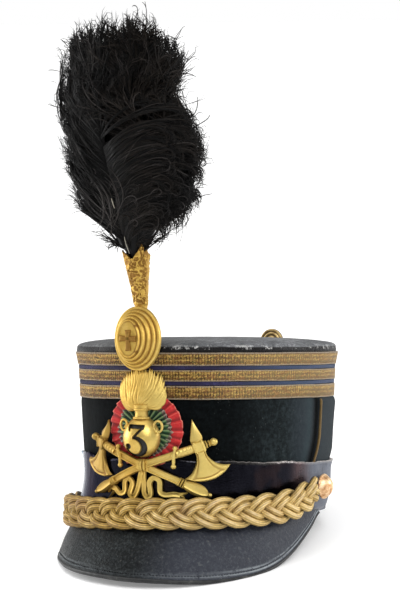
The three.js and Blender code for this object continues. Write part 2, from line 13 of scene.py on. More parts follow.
import bpy
import numpy as np
from mathutils import Matrix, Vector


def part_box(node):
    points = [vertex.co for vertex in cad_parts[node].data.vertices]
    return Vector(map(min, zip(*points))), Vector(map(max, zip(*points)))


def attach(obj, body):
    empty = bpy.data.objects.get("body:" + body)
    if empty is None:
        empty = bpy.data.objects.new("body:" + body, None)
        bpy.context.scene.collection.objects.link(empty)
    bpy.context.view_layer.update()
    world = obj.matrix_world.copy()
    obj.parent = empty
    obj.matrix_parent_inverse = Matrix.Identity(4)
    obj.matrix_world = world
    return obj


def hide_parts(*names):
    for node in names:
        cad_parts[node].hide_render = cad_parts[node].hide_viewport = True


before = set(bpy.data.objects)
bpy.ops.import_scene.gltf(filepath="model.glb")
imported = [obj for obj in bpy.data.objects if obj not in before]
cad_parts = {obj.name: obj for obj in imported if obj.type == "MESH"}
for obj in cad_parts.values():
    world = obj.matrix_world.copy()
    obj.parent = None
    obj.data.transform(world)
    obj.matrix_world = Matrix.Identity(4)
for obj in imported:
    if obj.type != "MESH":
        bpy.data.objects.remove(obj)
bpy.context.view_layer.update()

chance = np.random.default_rng(1871)
pick, scatter = chance.uniform, chance.normal
print("frame:", len(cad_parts), "nodes")

# %% [markdown]
# ## The shape of the head
#
# In plan the hat is an egg: an oval whose half width swells a little towards the back. The wall
# leans in as it goes down, so the half width is read from a short table by height. A place on the
# hat is (angle round the head from the front, height above the rim, distance out from the cloth).
# The front trimmings use (distance along the cloth from the front seam, height, distance out).


# %% Curves used everywhere
def ramp_step(value, low, high):
    """0 below low, 1 above high, and 3t^2 - 2t^3 between."""
    t = np.clip((value - low) / (high - low), 0, 1)
    return t * t * (3 - 2 * t)


def plateau(value, low, start, end, high):
    """1 from start to end, 0 below low and above high, and smooth climbs between."""
    return ramp_step(value, low, start) * (1 - ramp_step(value, end, high))


def bell(value, middle, width):
    """exp(-((value - middle) / width)^2): 1 at the middle and nearly 0 two widths away."""
    return np.exp(-((value - middle) / width)**2)


def unit(vectors):
    """Vectors divided by their length."""
    return vectors / np.maximum(np.linalg.norm(vectors, axis=-1, keepdims=True), 1e-9)


def round_turn(steps):
    """Angles once round from 0, without the last, which would be the first again."""
    return np.linspace(0, 2 * np.pi, steps + 1)[:-1]


def run_along(points):
    """Distance along a line of points, starting at 0."""
    return np.concatenate([[0], np.cumsum(np.linalg.norm(np.diff(points, axis=0), axis=1))])


print("a bell one width from its middle:", round(bell(1, 0, 1), 3))

# %% Places on the hat
MM = 0.001
BODY_FOOT, BODY_HEIGHT = 1.2, 113.0
BODY_LEVELS = [0, 30, 60, 87, 100, 108, BODY_HEIGHT]
BODY_WIDTHS = [81.7, 83.0, 84.8, 86.2, 86.7, 87.7, 88.9]
LENGTH_TO_WIDTH = 1.21
EGG = 0.04
GIRTH_HEIGHT = 60.4


def smooth_width(height):
    """Half width of the cloth at a height: the table read along straight lines, then averaged over
    a few millimetres so that the wall bends instead of kinking."""
    window = np.clip(np.minimum(height, BODY_HEIGHT - height), 0, 5)
    spread = height[..., None] + window[..., None] * np.linspace(-1, 1, 7)
    return np.interp(spread, BODY_LEVELS, BODY_WIDTHS).mean(-1)


def on_head(angle, height, out):
    """x = w sin a (1 - e cos a), y = -1.21 w cos a, pushed out along the oval's own normal."""
    angle, height, out = np.broadcast_arrays(*(np.asarray(v, float) for v in (angle, height, out)))
    width = smooth_width(height)
    length = width * LENGTH_TO_WIDTH
    along_x = width * (np.cos(angle) - EGG * np.cos(2 * angle))
    along_y = length * np.sin(angle)
    size = np.hypot(along_x, along_y)
    x = width * np.sin(angle) * (1 - EGG * np.cos(angle)) + out * along_y / size
    y = -length * np.cos(angle) - out * along_x / size
    return np.stack([x, y, height], -1)


GIRTH_ANGLES = np.linspace(-np.pi, np.pi, 2881)
girth_run = run_along(on_head(GIRTH_ANGLES, GIRTH_HEIGHT, 0))
GIRTH = girth_run[-1]


def angle_at(along):
    """Angle round the head at a distance along the cloth, from a table of the girth."""
    return np.interp(along, girth_run - GIRTH / 2, GIRTH_ANGLES)


def on_front(along, height, out):
    """A place near the front, by its distance along the cloth."""
    return on_head(angle_at(along), height, out)


print("girth of the cloth, mm:", round(GIRTH))

# %% [markdown]
# ## From the hat's frame to the floor
#
# The hat rests on three places: the peak's edge left and right of the middle, and the rear of the
# rim. The plane through them is the floor, so turning its normal upright tips the hat back. The
# frame's own box of the cloth body then gives the move that brings the hat to its place.

# %% Edge of the peak
BAND_THICK = 2.0
GAP = 0.3
PEAK_THICK = 2.0
PEAK_DROP = 42.6
PEAK_AT = [-88, -80, -70, -60, -50, -40, -30, -20, 0, 20, 30, 40, 50, 60, 65, 70, 75, 80, 85, 89, 93]
PEAK_DROPS = [9.3, 18.5, 24.4, 29.1, 33.1, 34.6, 36.3, 37.9, 41.2, 42.9, 43.2, 41.9, 39.6, 34.2, 30.3,
              25.9, 20.8, 15.6, 11.0, 5.8, 0]
PEAK_REACHES = [4.7, 8.4, 13.6, 19.4, 23.1, 25.2, 29, 31.7, 33.3, 29.2, 25.9, 22.8, 19.3, 14.4, 12,
                10.1, 8.3, 6.7, 5.3, 4.4, 4.3]


def smooth_table(side, places, values, window=4.0):
    """A table against the angle in degrees, averaged over a few so that it has no corners."""
    spread = np.asarray(side, float)[..., None] + np.linspace(-window, window, 9)
    return np.interp(spread, places, values).mean(-1)


def peak_drop(angle):
    """How far the edge of the peak hangs below the rim: deeper on the wearer's left."""
    return smooth_table(np.degrees(angle), PEAK_AT, PEAK_DROPS)


def peak_reach(angle):
    """How far the edge stands out from the cloth: less on the left."""
    return smooth_table(np.degrees(angle), PEAK_AT, PEAK_REACHES)


print("the peak drops in front, mm:", round(float(peak_drop(0)), 1))

# %% Rest on the floor
SUNK = 1.5
CONTACT = np.radians(38)
# angle, distance out and height of the three places: the peak's right, its left and the rear
RESTS = [(-CONTACT, 28.2, -36.56), (CONTACT, 22.96, -40.35), (np.pi, GAP + BAND_THICK, 0)]
FACETS = 56

rests = np.array([on_head(angle, 0, out) + [0, 0, height] for angle, out, height in RESTS])
up = unit(np.cross(rests[1] - rests[0], rests[2] - rests[0]))
axis = np.cross(up, [0, 0, 1])
cross_matrix = np.array([[0, -axis[2], axis[1]], [axis[2], 0, -axis[0]], [-axis[1], axis[0], 0]])
TIP = np.eye(3) + cross_matrix + cross_matrix @ cross_matrix / (1 + up[2])

body_rows = on_head(round_turn(FACETS), [[BODY_FOOT], [BODY_HEIGHT - GAP]], 0).reshape(-1, 3) @ TIP.T
body_low, body_high = (np.array(corner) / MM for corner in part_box("crown_body"))
SHIFT = (body_low + body_high - body_rows.min(0) - body_rows.max(0)) / 2


def to_floor(points):
    """Turned by TIP, moved by SHIFT, and changed from millimetres to metres. What would reach below
    the floor is pressed flat on it; the soft leather of the peak lets the hat sink a little."""
    placed = (np.asarray(points) @ TIP.T + SHIFT) * MM
    placed[..., 2] = np.maximum(placed[..., 2], -SUNK * MM)
    return placed


print("tipped back, degrees:", round(float(np.degrees(np.arccos(up[2]))), 2), "shift:", SHIFT.round(2))

# %% [markdown]
# ## Camera
#
# The camera stands two metres off, level with the hat's own frame and 25 degrees round to the
# wearer's left, so it looks slightly down at the floor.

# %% Camera
CAMERA_AZIMUTH = np.radians(25.0)
CAMERA_DISTANCE = 2044.8
CAMERA_HEIGHT = 133.6
SENSOR = 36.0
FOCAL_SHARE = 4.733  # focal length in heights of the frame
AIM = (-4.0, 150.2)  # sideways from the head's axis, and height
scene = bpy.context.scene


def set_up(name, data, place, away, up=(0, 0, 1)):
    """Links a camera or a lamp, which look along their own -z: its z axis is the direction `away`,
    its x axis is up cross z, and its y axis is z cross x. The place is in metres."""
    away = unit(np.array(away, float))
    side = unit(np.cross(up, away))
    pose = np.eye(4)
    pose[:3] = np.stack([side, np.cross(away, side), away, place], -1)
    made = bpy.data.objects.new(name, data)
    made.matrix_world = Matrix(pose.tolist())
    scene.collection.objects.link(made)
    return made


sine, cosine = np.sin(CAMERA_AZIMUTH), np.cos(CAMERA_AZIMUTH)
eye = to_floor([sine * CAMERA_DISTANCE, -cosine * CAMERA_DISTANCE, CAMERA_HEIGHT])
target = to_floor([AIM[0] * cosine, AIM[0] * sine, AIM[1]])
camera_data = bpy.data.cameras.new("camera")
camera_data.sensor_width = SENSOR
camera_data.lens = SENSOR * FOCAL_SHARE
camera_data.clip_end = 30.0
scene.camera = set_up("camera", camera_data, eye, eye - target, TIP @ [0, 0, 1])
print("camera stands", round(float(eye[2]), 3), "m above the floor")

# %% [markdown]
# ## Finishes as expressions
#
# A finish is a Principled shader whose changing inputs come from small formulas. `Value` wraps one
# output socket, and its operators add the Math nodes, so `1 - mask * 0.5` reads as it would in
# numpy. Every other node is made by `Nodes.node`, which sets the node's settings first and then
# its inputs. Colours are laid over each other like coats of paint, each with its own share.


# %% Value
def operation(kind, swapped=False):
    """A method that adds one Math node; swapped puts the other number first."""
    def method(self, *others):
        inputs = (*others, self) if swapped else (self, *others)
        return self.nodes.node("ShaderNodeMath", {"operation": kind}, inputs)
    return method


class Value:
    """An output socket that takes part in arithmetic with numbers and other values."""

    def __init__(self, nodes, socket):
        self.nodes, self.socket = nodes, socket

    __add__ = __radd__ = operation("ADD")
    __mul__ = __rmul__ = operation("MULTIPLY")
    __sub__, __rsub__ = operation("SUBTRACT"), operation("SUBTRACT", swapped=True)
    __abs__, sine = operation("ABSOLUTE"), operation("SINE")

    def ripple(self, period):
        """sin(2 pi value / period), moved to between 0 and 1."""
        return (self * (2 * np.pi / period)).sine() * 0.5 + 0.5

    def above(self, edge, width):
        """1 where the value is over the edge, with a smooth climb of the given width."""
        settings = {"interpolation_type": "SMOOTHSTEP", "clamp": True}
        inputs = {"Value": self, "From Min": edge - width / 2, "From Max": edge + width / 2 + 1e-6}
        return self.nodes.node("ShaderNodeMapRange", settings, inputs)

    def below(self, edge, width):
        """1 where the value is under the edge."""
        return 1 - self.above(edge, width)


# %% Nodes and Finish
class Nodes:
    """A node tree and the one method that fills it."""

    def __init__(self, tree):
        self.tree = tree

    def node(self, kind, settings=None, inputs=(), output=0):
        """A node of a type: its settings, then its inputs by order or by name, then one output."""
        made = self.tree.nodes.new(kind)
        for key, choice in (settings or {}).items():
            if key == "ramp":
                stops = made.color_ramp.elements
                while len(stops) < len(choice):
                    stops.new(0.5)
                for stop, (place, colour) in zip(stops, choice):
                    stop.position, stop.color = place, (*colour, 1)
            else:
                setattr(made, key, choice)
        for key, given in inputs.items() if isinstance(inputs, dict) else enumerate(inputs):
            self.link(given, made.inputs[key])
        return Value(self, made.outputs[output])

    def link(self, given, socket):
        """Links a value to a socket, or sets the socket to a number or a colour."""
        if isinstance(given, Value):
            self.tree.links.new(given.socket, socket)
        elif socket.type == "RGBA":
            socket.default_value = (*given, 1)
        else:
            socket.default_value = given


class Finish(Nodes):
    """A material with one Principled shader; the numbers given by name are the same all over."""

    def __init__(self, name, **fixed):
        self.material = bpy.data.materials.new(name)
        self.material.use_nodes = True
        self.material.diffuse_color = (*fixed.get("base_color", (0.5, 0.5, 0.5)), 1)
        super().__init__(self.material.node_tree)
        self.feed(**fixed)
        self.place = self.node("ShaderNodeTexCoord", output="Object")

    def feed(self, **values):
        """Numbers, colours or values for the shader's inputs."""
        for key, given in values.items():
            name = key.replace("_", " ").title().replace("Ior", "IOR")
            self.link(given, self.tree.nodes["Principled BSDF"].inputs[name])
        return self

    def split(self, vector=None):
        """The three numbers of a vector: of the place in metres, unless another is given."""
        first = self.node("ShaderNodeSeparateXYZ", None, [vector or self.place])
        return [Value(self, socket) for socket in first.socket.node.outputs]

    def chart(self):
        """The piece's own chart: along and across the surface, in millimetres."""
        return self.split(self.node("ShaderNodeUVMap", {"uv_map": "chart"}))[:2]

    def noise(self, scale, detail=3, roughness=0.55, squash=1):
        """Noise with so many swells to the metre; a squash of 2 makes them half as tall."""
        place = self.place
        if squash != 1:
            place = self.node("ShaderNodeVectorMath", {"operation": "MULTIPLY"}, [place, (1, 1, squash)])
        inputs = {"Vector": place, "Scale": scale, "Detail": detail, "Roughness": roughness}
        return self.node("ShaderNodeTexNoise", None, inputs, "Fac")

    def cells(self, scale, feature="F1"):
        """Distance from the middle of a cell, or from its edge."""
        inputs = {"Vector": self.place, "Scale": scale}
        return self.node("ShaderNodeTexVoronoi", {"feature": feature}, inputs, "Distance")

    def mark(self, name):
        """A number kept on the mesh, such as how deep in a groove a point lies."""
        return self.node("ShaderNodeAttribute", {"attribute_name": name}, output="Fac")

    def ramp(self, value, *stops):
        """A colour from a number, by stops of (place, colour)."""
        return self.node("ShaderNodeValToRGB", {"ramp": stops}, [value], "Color")

    def coats(self, tone, *coats):
        """Coats of (share, colour) over a tone: one hides what is under it where its share is 1."""
        for share, colour in coats:
            settings = {"data_type": "RGBA", "clamp_factor": True}
            tone = self.node("ShaderNodeMix", settings, {0: share, 6: tone, 7: colour}, 2)
        return tone

    def bump(self, height, depth, strength):
        """A bump whose height of 1 stands `depth` metres tall."""
        return self.node("ShaderNodeBump", None, {"Height": height, "Distance": depth, "Strength": strength},
                         "Normal")


# %% [markdown]
# ## Light and floor
#
# Lights are large and soft, because gilt and patent leather show whatever is round them. One broad
# sun stands in front to the wearer's left and a broader one above, and a square lamp on each side
# draws a streak on what shines. The world is white where it is seen and dimmer where it lights.

# %% Light and floor
HAT_MIDDLE = np.array([0.0, 0.0, 0.16])
STRIP_WATTS = 9
WORLD_LIGHT = 0.42
FLOOR_HALF = 4.0
FLOOR_LEVEL = -0.0004 - SUNK * MM

for name, toward, strength, spread in (("key", (0.95, -1.0, 1.25), 1.5, 25),
                                       ("top", (-0.25, -0.1, 1.5), 1.3, 60)):
    sun = bpy.data.lights.new(name, "SUN")
    sun.energy, sun.angle = strength, np.radians(spread)
    set_up(name, sun, (0, 0, 0), toward)
for name, place, size in (("left_strip", (-1.1, -0.25, 0.35), 0.55), ("right_strip", (1.15, 0.75, 0.4), 0.5)):
    strip = bpy.data.lights.new(name, "AREA")
    strip.size, strip.energy = size, STRIP_WATTS
    set_up(name, strip, place, place - HAT_MIDDLE)

world = bpy.data.worlds.new("studio")
world.use_nodes = True
studio = Nodes(world.node_tree)
studio.tree.nodes.remove(studio.tree.nodes["Background"])
lighting, seen = (studio.node("ShaderNodeBackground", None, {"Color": (1, 1, 1), "Strength": strength})
                  for strength in (WORLD_LIGHT, 1.0))
camera_ray = studio.node("ShaderNodeLightPath", output="Is Camera Ray")
sky = studio.node("ShaderNodeMixShader", None, [camera_ray, lighting, seen])
studio.link(sky, studio.tree.nodes["World Output"].inputs["Surface"])
scene.world = world
scene.view_settings.view_transform = "Standard"

floor_mesh = bpy.data.meshes.new("floor")
floor_mesh.from_pydata([(x * FLOOR_HALF, y * FLOOR_HALF, FLOOR_LEVEL)
                        for x, y in ((-1, -1), (1, -1), (1, 1), (-1, 1))], [], [(0, 1, 2, 3)])
floor_mesh.materials.append(Finish("pale_floor", base_color=(0.86, 0.86, 0.86), roughness=0.9,
                                   emission_color=(1, 1, 1), emission_strength=0.22).material)
floor = bpy.data.objects.new("floor", floor_mesh)
scene.collection.objects.link(floor)
print("floor lies at, mm:", round(FLOOR_LEVEL / MM, 2))

# %% [markdown]
# ## Skins
#
# Every piece is a set of patches: a grid of points with quads between them. A closed direction
# joins its last line to its first, and a pole closes an end with a fan of triangles. Each patch
# carries a chart, which is a distance along and across it in millimetres, for weaves and seams.


# %% Patches
class Patch:
    """Points, faces with -1 in the last place of a triangle, and a chart for each face corner."""

    def __init__(self, points, faces, chart, marks=None):
        self.points, self.faces, self.chart = points, faces, chart
        self.marks = marks or {}


def skin(grid, wrap=(False, True), poles=(None, None), along=None, across=None, marks=None):
    """Quads over a grid of points; wrap says which of its directions close. A pole is a point past
    the first or last row. Charts are given for each row and column, with one more where it wraps."""
    rows, columns = grid.shape[:2]
    along = np.arange(rows + wrap[0]) if along is None else along
    across = np.arange(columns + wrap[1]) if across is None else across
    i, j = (n.ravel() for n in np.indices((rows - 1 + wrap[0], columns - 1 + wrap[1])))
    far, side = (i + 1) % rows, (j + 1) % columns
    faces = [np.stack([i * columns + j, i * columns + side, far * columns + side, far * columns + j], -1)]
    chart = [np.stack([np.stack([along[a], across[b]], -1)
                       for a, b in ((i, j), (i, j + 1), (i + 1, j + 1), (i + 1, j))], 1)]
    points = [grid.reshape(-1, 3)]
    marks = {name: [np.broadcast_to(values, (rows, columns)).ravel()]
             for name, values in (marks or {}).items()}
    count = rows * columns
    j = np.arange(columns - 1 + wrap[1])
    for end, pole in enumerate(poles):
        if pole is None:
            continue
        row = end * (rows - 1)
        one, two = row * columns + j, row * columns + (j + 1) % columns
        tip = np.full_like(j, count)
        ring = [tip, one, two] if end else [tip, two, one]
        faces.append(np.stack([*ring, np.full_like(j, -1)], -1))
        spread = [j + 0.5, j, j + 1] if end else [j + 0.5, j + 1, j]
        crosswise = [np.interp(place, np.arange(len(across)), across) for place in (*spread, spread[0])]
        chart.append(np.stack([np.stack([np.full(len(j), along[row]), value], -1) for value in crosswise], 1))
        points.append(np.asarray(pole, float)[None])
        for values in marks.values():
            values.append(values[0].reshape(rows, columns)[row].mean()[None])
        count += 1
    faces, chart, points = (np.concatenate(parts) for parts in (faces, chart, points))
    if enclosed(points, faces) < 0:
        faces, chart = turned_over(faces, chart)
    return Patch(points, faces, chart, {name: np.concatenate(values) for name, values in marks.items()})


def capped(grid, **more):
    """A tube-like skin, closed by a pole at the middle of its first row and of its last."""
    return skin(grid, poles=(grid[0].mean(0), grid[-1].mean(0)), **more)


def enclosed(points, faces):
    """Six times the volume inside a closed skin, positive when its faces point out."""
    centre = points.mean(0)
    a, b, c = (points[faces[:, k]] - centre for k in (0, 1, 2))
    d = np.where(faces[:, 3:] < 0, points[faces[:, 2]], points[faces[:, 3]]) - centre
    return (a * np.cross(b, c)).sum() + (a * np.cross(c, d)).sum()


def turned_over(faces, chart):
    """The same faces seen from the other side."""
    order = np.where(faces[:, 3:] >= 0, [3, 2, 1, 0], [2, 1, 0, 3])
    rows = np.arange(len(faces))[:, None]
    return faces[rows, order], chart[rows, order]


def merged(patches):
    """Several patches as one; a mark that a patch lacks is 0 on it."""
    offsets = np.cumsum([0] + [len(patch.points) for patch in patches])
    faces = np.concatenate([np.where(p.faces < 0, -1, p.faces + start) for p, start in zip(patches, offsets)])
    marks = {name: np.concatenate([p.marks.get(name, np.zeros(len(p.points))) for p in patches])
             for name in {name for patch in patches for name in patch.marks}}
    points, chart = (np.concatenate([getattr(p, part) for p in patches]) for part in ("points", "chart"))
    return Patch(points, faces, chart, marks)


def make_piece(name, patches, finish, stands_for=(), sharp=None):
    """Writes patches into a mesh in metres on the floor, gives it its finish, and has it ride."""
    patch = merged(patches)
    corners = patch.faces >= 0
    totals = corners.sum(1).astype(np.int32)
    mesh = bpy.data.meshes.new(name)
    mesh.vertices.add(len(patch.points))
    mesh.vertices.foreach_set("co", to_floor(patch.points).astype(np.float32).ravel())
    mesh.loops.add(int(totals.sum()))
    mesh.loops.foreach_set("vertex_index", patch.faces[corners].astype(np.int32))
    mesh.polygons.add(len(totals))
    mesh.polygons.foreach_set("loop_start", (np.cumsum(totals) - totals).astype(np.int32))
    mesh.polygons.foreach_set("loop_total", totals)
    mesh.update(calc_edges=True)
    mesh.uv_layers.new(name="chart").data.foreach_set("uv", patch.chart[corners].astype(np.float32).ravel())
    for mark, values in patch.marks.items():
        mesh.attributes.new(mark, "FLOAT", "POINT").data.foreach_set("value", values.astype(np.float32))
    mesh.polygons.foreach_set("use_smooth", np.ones(len(totals), bool))
    if sharp is not None:
        mesh.set_sharp_from_angle(angle=np.radians(sharp))
    mesh.materials.append(finish.material)
    piece = bpy.data.objects.new(name, mesh)
    scene.collection.objects.link(piece)
    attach(piece, "root")
    if stands_for:
        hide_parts(*stands_for)
    print(f"{name}: {int((totals - 2).sum())} triangles")


# %% [markdown]
# ## Irregularity
#
# Worn things are never quite even. `drift` is a smooth noise of any number of points in space: each
# corner of a lattice gets a number from a hash of its place, and the numbers are blended with a
# smooth step. It could also come from a texture, but here it moves the surface itself.


# %% Smooth noise
def drift(points, size, seed):
    """Noise between -1 and 1 whose swells are about `size` across."""
    scaled = np.asarray(points, float) / size + seed * 17.31
    cell = np.floor(scaled).astype(np.int64)
    share = scaled - cell
    share = share * share * (3 - 2 * share)
    total = np.zeros(scaled.shape[:-1])
    for corner in np.ndindex(2, 2, 2):
        mix = np.zeros(total.shape, np.uint64)
        for number, factor in zip(np.moveaxis(cell + corner, -1, 0), (73856093, 19349663, 83492791)):
            mix ^= (number * factor).astype(np.uint64)
        mix = (mix ^ (mix >> np.uint64(13))) * np.uint64(1274126177) & np.uint64(0xFFFFFFFF)
        mix ^= mix >> np.uint64(15)
        weight = np.prod(np.where(corner, share, 1 - share), -1)
        total += weight * ((mix & np.uint64(65535)).astype(float) / 32767.5 - 1)
    return total


def round_head(steps):
    """Angles round the head, as a column: they start at the back and go by the wearer's right."""
    return (-np.pi + np.arange(steps) / steps * 2 * np.pi)[:, None]


def hoop(outs, heights, steps, marks=None):
    """A closed ring round the head from a closed section of (out, height); both may change with
    the angle. The chart starts at the back of the head."""
    grid = on_head(round_head(steps), heights, outs)
    return skin(grid, (True, True), along=np.arange(steps + 1) / steps * GIRTH,
                across=run_along(np.concatenate([grid[0], grid[0][:1]])), marks=marks)


print("noise of three points:", drift(np.eye(3) * 40, 12, 0).round(3))

# %% [markdown]
# ## Cloth body
#
# The drum is a tube of dark wool over a stiff lining. Its outer face swells and sinks by a few
# tenths of a millimetre, most between the leather and the lace, where nothing holds it down. Wool
# is shaded by two noises: a fine nap for the fibres and a wide one for wear. Over them go painted
# shade on the side away from the key light, painted light on the side facing it, a painted
# highlight just in front of one side cord, and a painted shadow in the seam just in front of each side cord.

# %% Wool drum
CLOTH = 2.8
UNHELD = (26, 46, 78, 84)  # heights between which nothing holds the cloth down
SIDE_SEAM, SEAM_SHIFT = 88.6, 2.4  # degrees from the front at the foot, and how far back it climbs


def side_swell(angle):
    """How far the cloth bulges at the two sides: one bell curve on each."""
    side = np.degrees(angle)
    return 4.0 * bell(side, 112, 30) + 2.0 * bell(side, -82, 30)


steps, outer_rows, inner_rows = 250, 42, 6
angles = round_head(steps)
span = (BODY_FOOT, BODY_HEIGHT - GAP)
heights = np.concatenate([np.linspace(*span, outer_rows), np.linspace(*span[::-1], inner_rows)])[None]
inside = (np.arange(outer_rows + inner_rows) >= outer_rows)[None] * np.ones((steps, 1))
free = plateau(heights, *UNHELD) * (1 - inside)
where = on_head(angles, heights, 0)
swell = 0.5 * drift(where, 34, 1) + 0.22 * drift(where * [1, 1, 0.5], 13, 2) - 0.15
creases = 0.35 * np.abs(drift(where * [1, 1, 0.35], 17, 3))
from_cord = np.degrees(np.abs(angles)) - SIDE_SEAM - SEAM_SHIFT * ramp_step(heights, 33, 57)
# the seam just in front of each side cord: a shallow groove in the cloth, and a painted shadow of the cord in
# its colour
seam = bell(from_cord, -1.4, 2.6) * (1 - inside)
# pressed: a painted highlight, a lighter streak just in front of the side cord on one side
pressed = bell(from_cord, -7.0, 2.4) * (angles > 0) * (1 - inside)
outs = free * (swell - creases + side_swell(angles) - 0.9 * seam) - CLOTH * inside
drum = hoop(outs, heights, steps, {"inside": inside, "seam": seam, "pressed": pressed})

wool = Finish("dark_wool", roughness=0.93, sheen_weight=0.015, sheen_roughness=0.45, specular_ior_level=0.1)
nap = wool.noise(1500, 3, 0.75)
felt = wool.noise(330, 4, 0.65)
wear = wool.noise(26, 4, 0.6)
specks = wool.cells(420).below(0.13, 0.05) * wool.noise(60, 2).above(0.6, 0.08)
x, y, _ = wool.split()
# painted shade: the wool is darkened on the side away from the key light, and its shine is taken away there
shade = x.below(0.065, 0.028)
tone = wool.coats(
    wool.ramp(felt * 0.55 + nap * 0.25 + wear * 0.3, (0.38, (0.0015, 0.0026, 0.003)),
              (0.52, (0.0062, 0.0096, 0.0105)), (0.69, (0.023, 0.032, 0.035))),
    (shade * 0.75, (0.0008, 0.001, 0.0011)),
    # painted light: lighter, tealer wool on the side facing the key light, and towards the back of that side
    (x.above(0.08, 0.01) * 0.6, (0.024, 0.032, 0.042)),
    (y.above(0.0, 0.05) * x.above(0.05, 0.02) * 0.5, (0.03, 0.036, 0.038)),
    # painted highlight along the pressed streak
    (wool.mark("pressed") * 0.35, (0.03, 0.05, 0.056)),
    (specks * 0.35, (0.16, 0.17, 0.16)),
    # painted shadow of the side cord along its seam
    (wool.mark("seam") * 0.9, (0.001, 0.001, 0.001)),
    (wool.mark("inside"), (0.07, 0.045, 0.03)))
shine_killed = shade * 0.55 + x.below(-0.02, 0.04) * 0.35 + wool.mark("seam") * (1 - shade * 0.9)
wool.feed(base_color=tone, metallic=shine_killed, normal=wool.bump(nap * 0.4 + felt * 0.6, 0.0006, 0.8))
make_piece("wool_drum", [drum], wool, ("crown_body",))

# %% [markdown]
# ## Leather cap
#
# The top is patent leather stretched over a board. Its profile is the power curve
# rise = 3.2 + 7.7 (1 - s^2)^0.31, where s is the share of the way out from the middle, so it is
# almost flat and turns down sharply at the shoulder. Patent leather crazes with age, so the shading
# has a net of fine cracks, and the shoulder is scuffed.

# %% Cap
CAP_RIM, CAP_RISE = 3.2, 10.9
CAP_WALL = 2.0
CAP_OUT = 0.6
steps = 280
angles = round_head(steps)


def cap_rows(sines, rise_by, out):
    """Rows of the cap at the given shares of the way out, by the power curve."""
    flat = on_head(angles, BODY_HEIGHT, out) * np.ones((1, len(sines), 1))
    flat[..., :2] *= sines[:, None]
    flat[..., 2] = BODY_HEIGHT + CAP_RIM + (CAP_RISE - CAP_RIM) * (1 - sines**2)**0.31 + rise_by
    return flat


sines = np.sin(np.linspace(np.pi / 2, 0.03, 36))
rim = on_head(angles, BODY_HEIGHT, CAP_OUT + 0.25 * np.sin(np.linspace(0, np.pi, 7)))
rim[..., 2] = BODY_HEIGHT + np.linspace(0, CAP_RIM, 7)
upper = cap_rows(sines, 0, CAP_OUT)
lump = drift(upper, 9, 4) * 0.28 + drift(upper, 31, 5) * 0.5
edge_share = sines**6
upper[..., 2] += lump * (0.35 + 0.65 * edge_share)
upper[..., :2] *= 1 + (drift(upper, 6, 6) * 0.0022 * edge_share)[..., None]
under = cap_rows(np.sin(np.linspace(0.03, np.pi / 2, 8)), -CAP_WALL, CAP_OUT - CAP_WALL)
cap_grid = np.concatenate([under, rim, upper[:, 1:]], 1).swapaxes(0, 1)
scuff = np.concatenate([np.zeros(8), np.full(7, 0.8), 0.6 * (sines**900)[1:]])[:, None]
crest = np.concatenate([np.zeros(13), [0.6, 1.0], (sines**120 * (1 - sines**900))[1:]])[:, None]
lid = skin(cap_grid, poles=[[0, 0, BODY_HEIGHT + CAP_RISE - wall] for wall in (CAP_WALL, 0)],
           across=np.arange(steps + 1) / steps * GIRTH, marks={"shoulder": scuff, "crest": crest})

patent = Finish("crazed_patent", specular_ior_level=0.35, coat_roughness=0.16, coat_weight=0.04)
crack, fine_crack = (patent.cells(scale, "DISTANCE_TO_EDGE") for scale in (210, 620))
cracks = crack.below(0.05, 0.06) * 0.7 + fine_crack.below(0.06, 0.08) * 0.3
dust = patent.noise(34, 5, 0.62)
grime = patent.noise(240, 4, 0.6)
chalk = patent.noise(620, 3, 0.7)
shoulder = patent.mark("shoulder")
x = patent.split()[0]
# painted highlights: white glints along the crest of the shoulder, on the side facing the key light
painted_crest_glints = patent.mark("crest") * patent.noise(110, 5, 0.75).above(0.59, 0.05) * x.above(0.0, 0.05)
tone = patent.coats(
    patent.ramp(dust * 0.35 + grime * 0.35 + chalk * 0.3, (0.36, (0.06, 0.063, 0.068)),
                (0.5, (0.15, 0.156, 0.165)), (0.64, (0.42, 0.425, 0.44))),
    # painted shade: the top is darker on the side away from the key light
    (x.below(0.03, 0.09) * 0.6, (0.07, 0.072, 0.07)),
    (shoulder.above(0.3, 0.5), (0.012, 0.011, 0.011)),
    (painted_crest_glints * 0.8, (0.7, 0.69, 0.67)),
    (cracks * 0.5, (0.012, 0.012, 0.014)))
patent.feed(base_color=tone, roughness=0.5 + grime * 0.25 - shoulder.above(0.4, 0.5) * 0.1,
            metallic=shoulder.above(0.4, 0.3) * 0.85,
            normal=patent.bump(grime * 0.6 + dust * 0.8 - cracks * 0.8, 0.0009, 0.9))
make_piece("leather_cap", [lid], patent, ("crown_top",), sharp=70)

# %% [markdown]
# ## Lace and stripes
#
# Three gold laces are sewn round the top with a blue stripe between each pair. A lace is a flat
# ribbed weave with a raised selvedge on both sides. The weave is a function of the chart: threads
# lie across the lace every 0.6 mm, and each is broken into steps by the pattern of the ground.

# %% Gold lace
LACES = {"lace_lower": (81.2, 90.6), "lace_middle": (93.6, 101.3), "lace_upper": (104.3, 113.4)}
STRIPES = {"stripe_lower": (90.8, 93.4), "stripe_upper": (101.5, 104.1)}
FRINGE_ABOVE = 113


def flat_ring(low, high, thick, seed, steps=300, corners=14):
    """A ribbon round the head that wanders a little up and down. Its section is a rounded box, each
    side |cos|^p or |sin|^p of the turn. It notes how far up its own width each point lies."""
    middle, half = (low + high) / 2, (high - low) / 2
    turn = (np.arange(corners) + 0.5) / corners * 2 * np.pi
    outs, levels = (np.sign(wave) * np.abs(wave)**0.34 for wave in (np.cos(turn), np.sin(turn)))
    angles = round_head(steps)
    rim = on_head(angles, middle, 0)
    wander = 0.22 * drift(rim, 22, seed) + 0.1 * drift(rim, 6, seed + 1)
    puff = 0.12 * drift(rim, 14, seed + 2) + 0.8 * bell(np.degrees(angles), 115, 30)
    share = (levels + 1) / 2
    marks = {"rise": share, "fringe": ramp_step(share * (high > FRINGE_ABOVE), 0.8, 0.86)}
    outs = GAP + thick / 2 * (1 + outs) + puff * (outs > 0)
    return hoop(outs, middle + half * levels + wander, steps, marks)


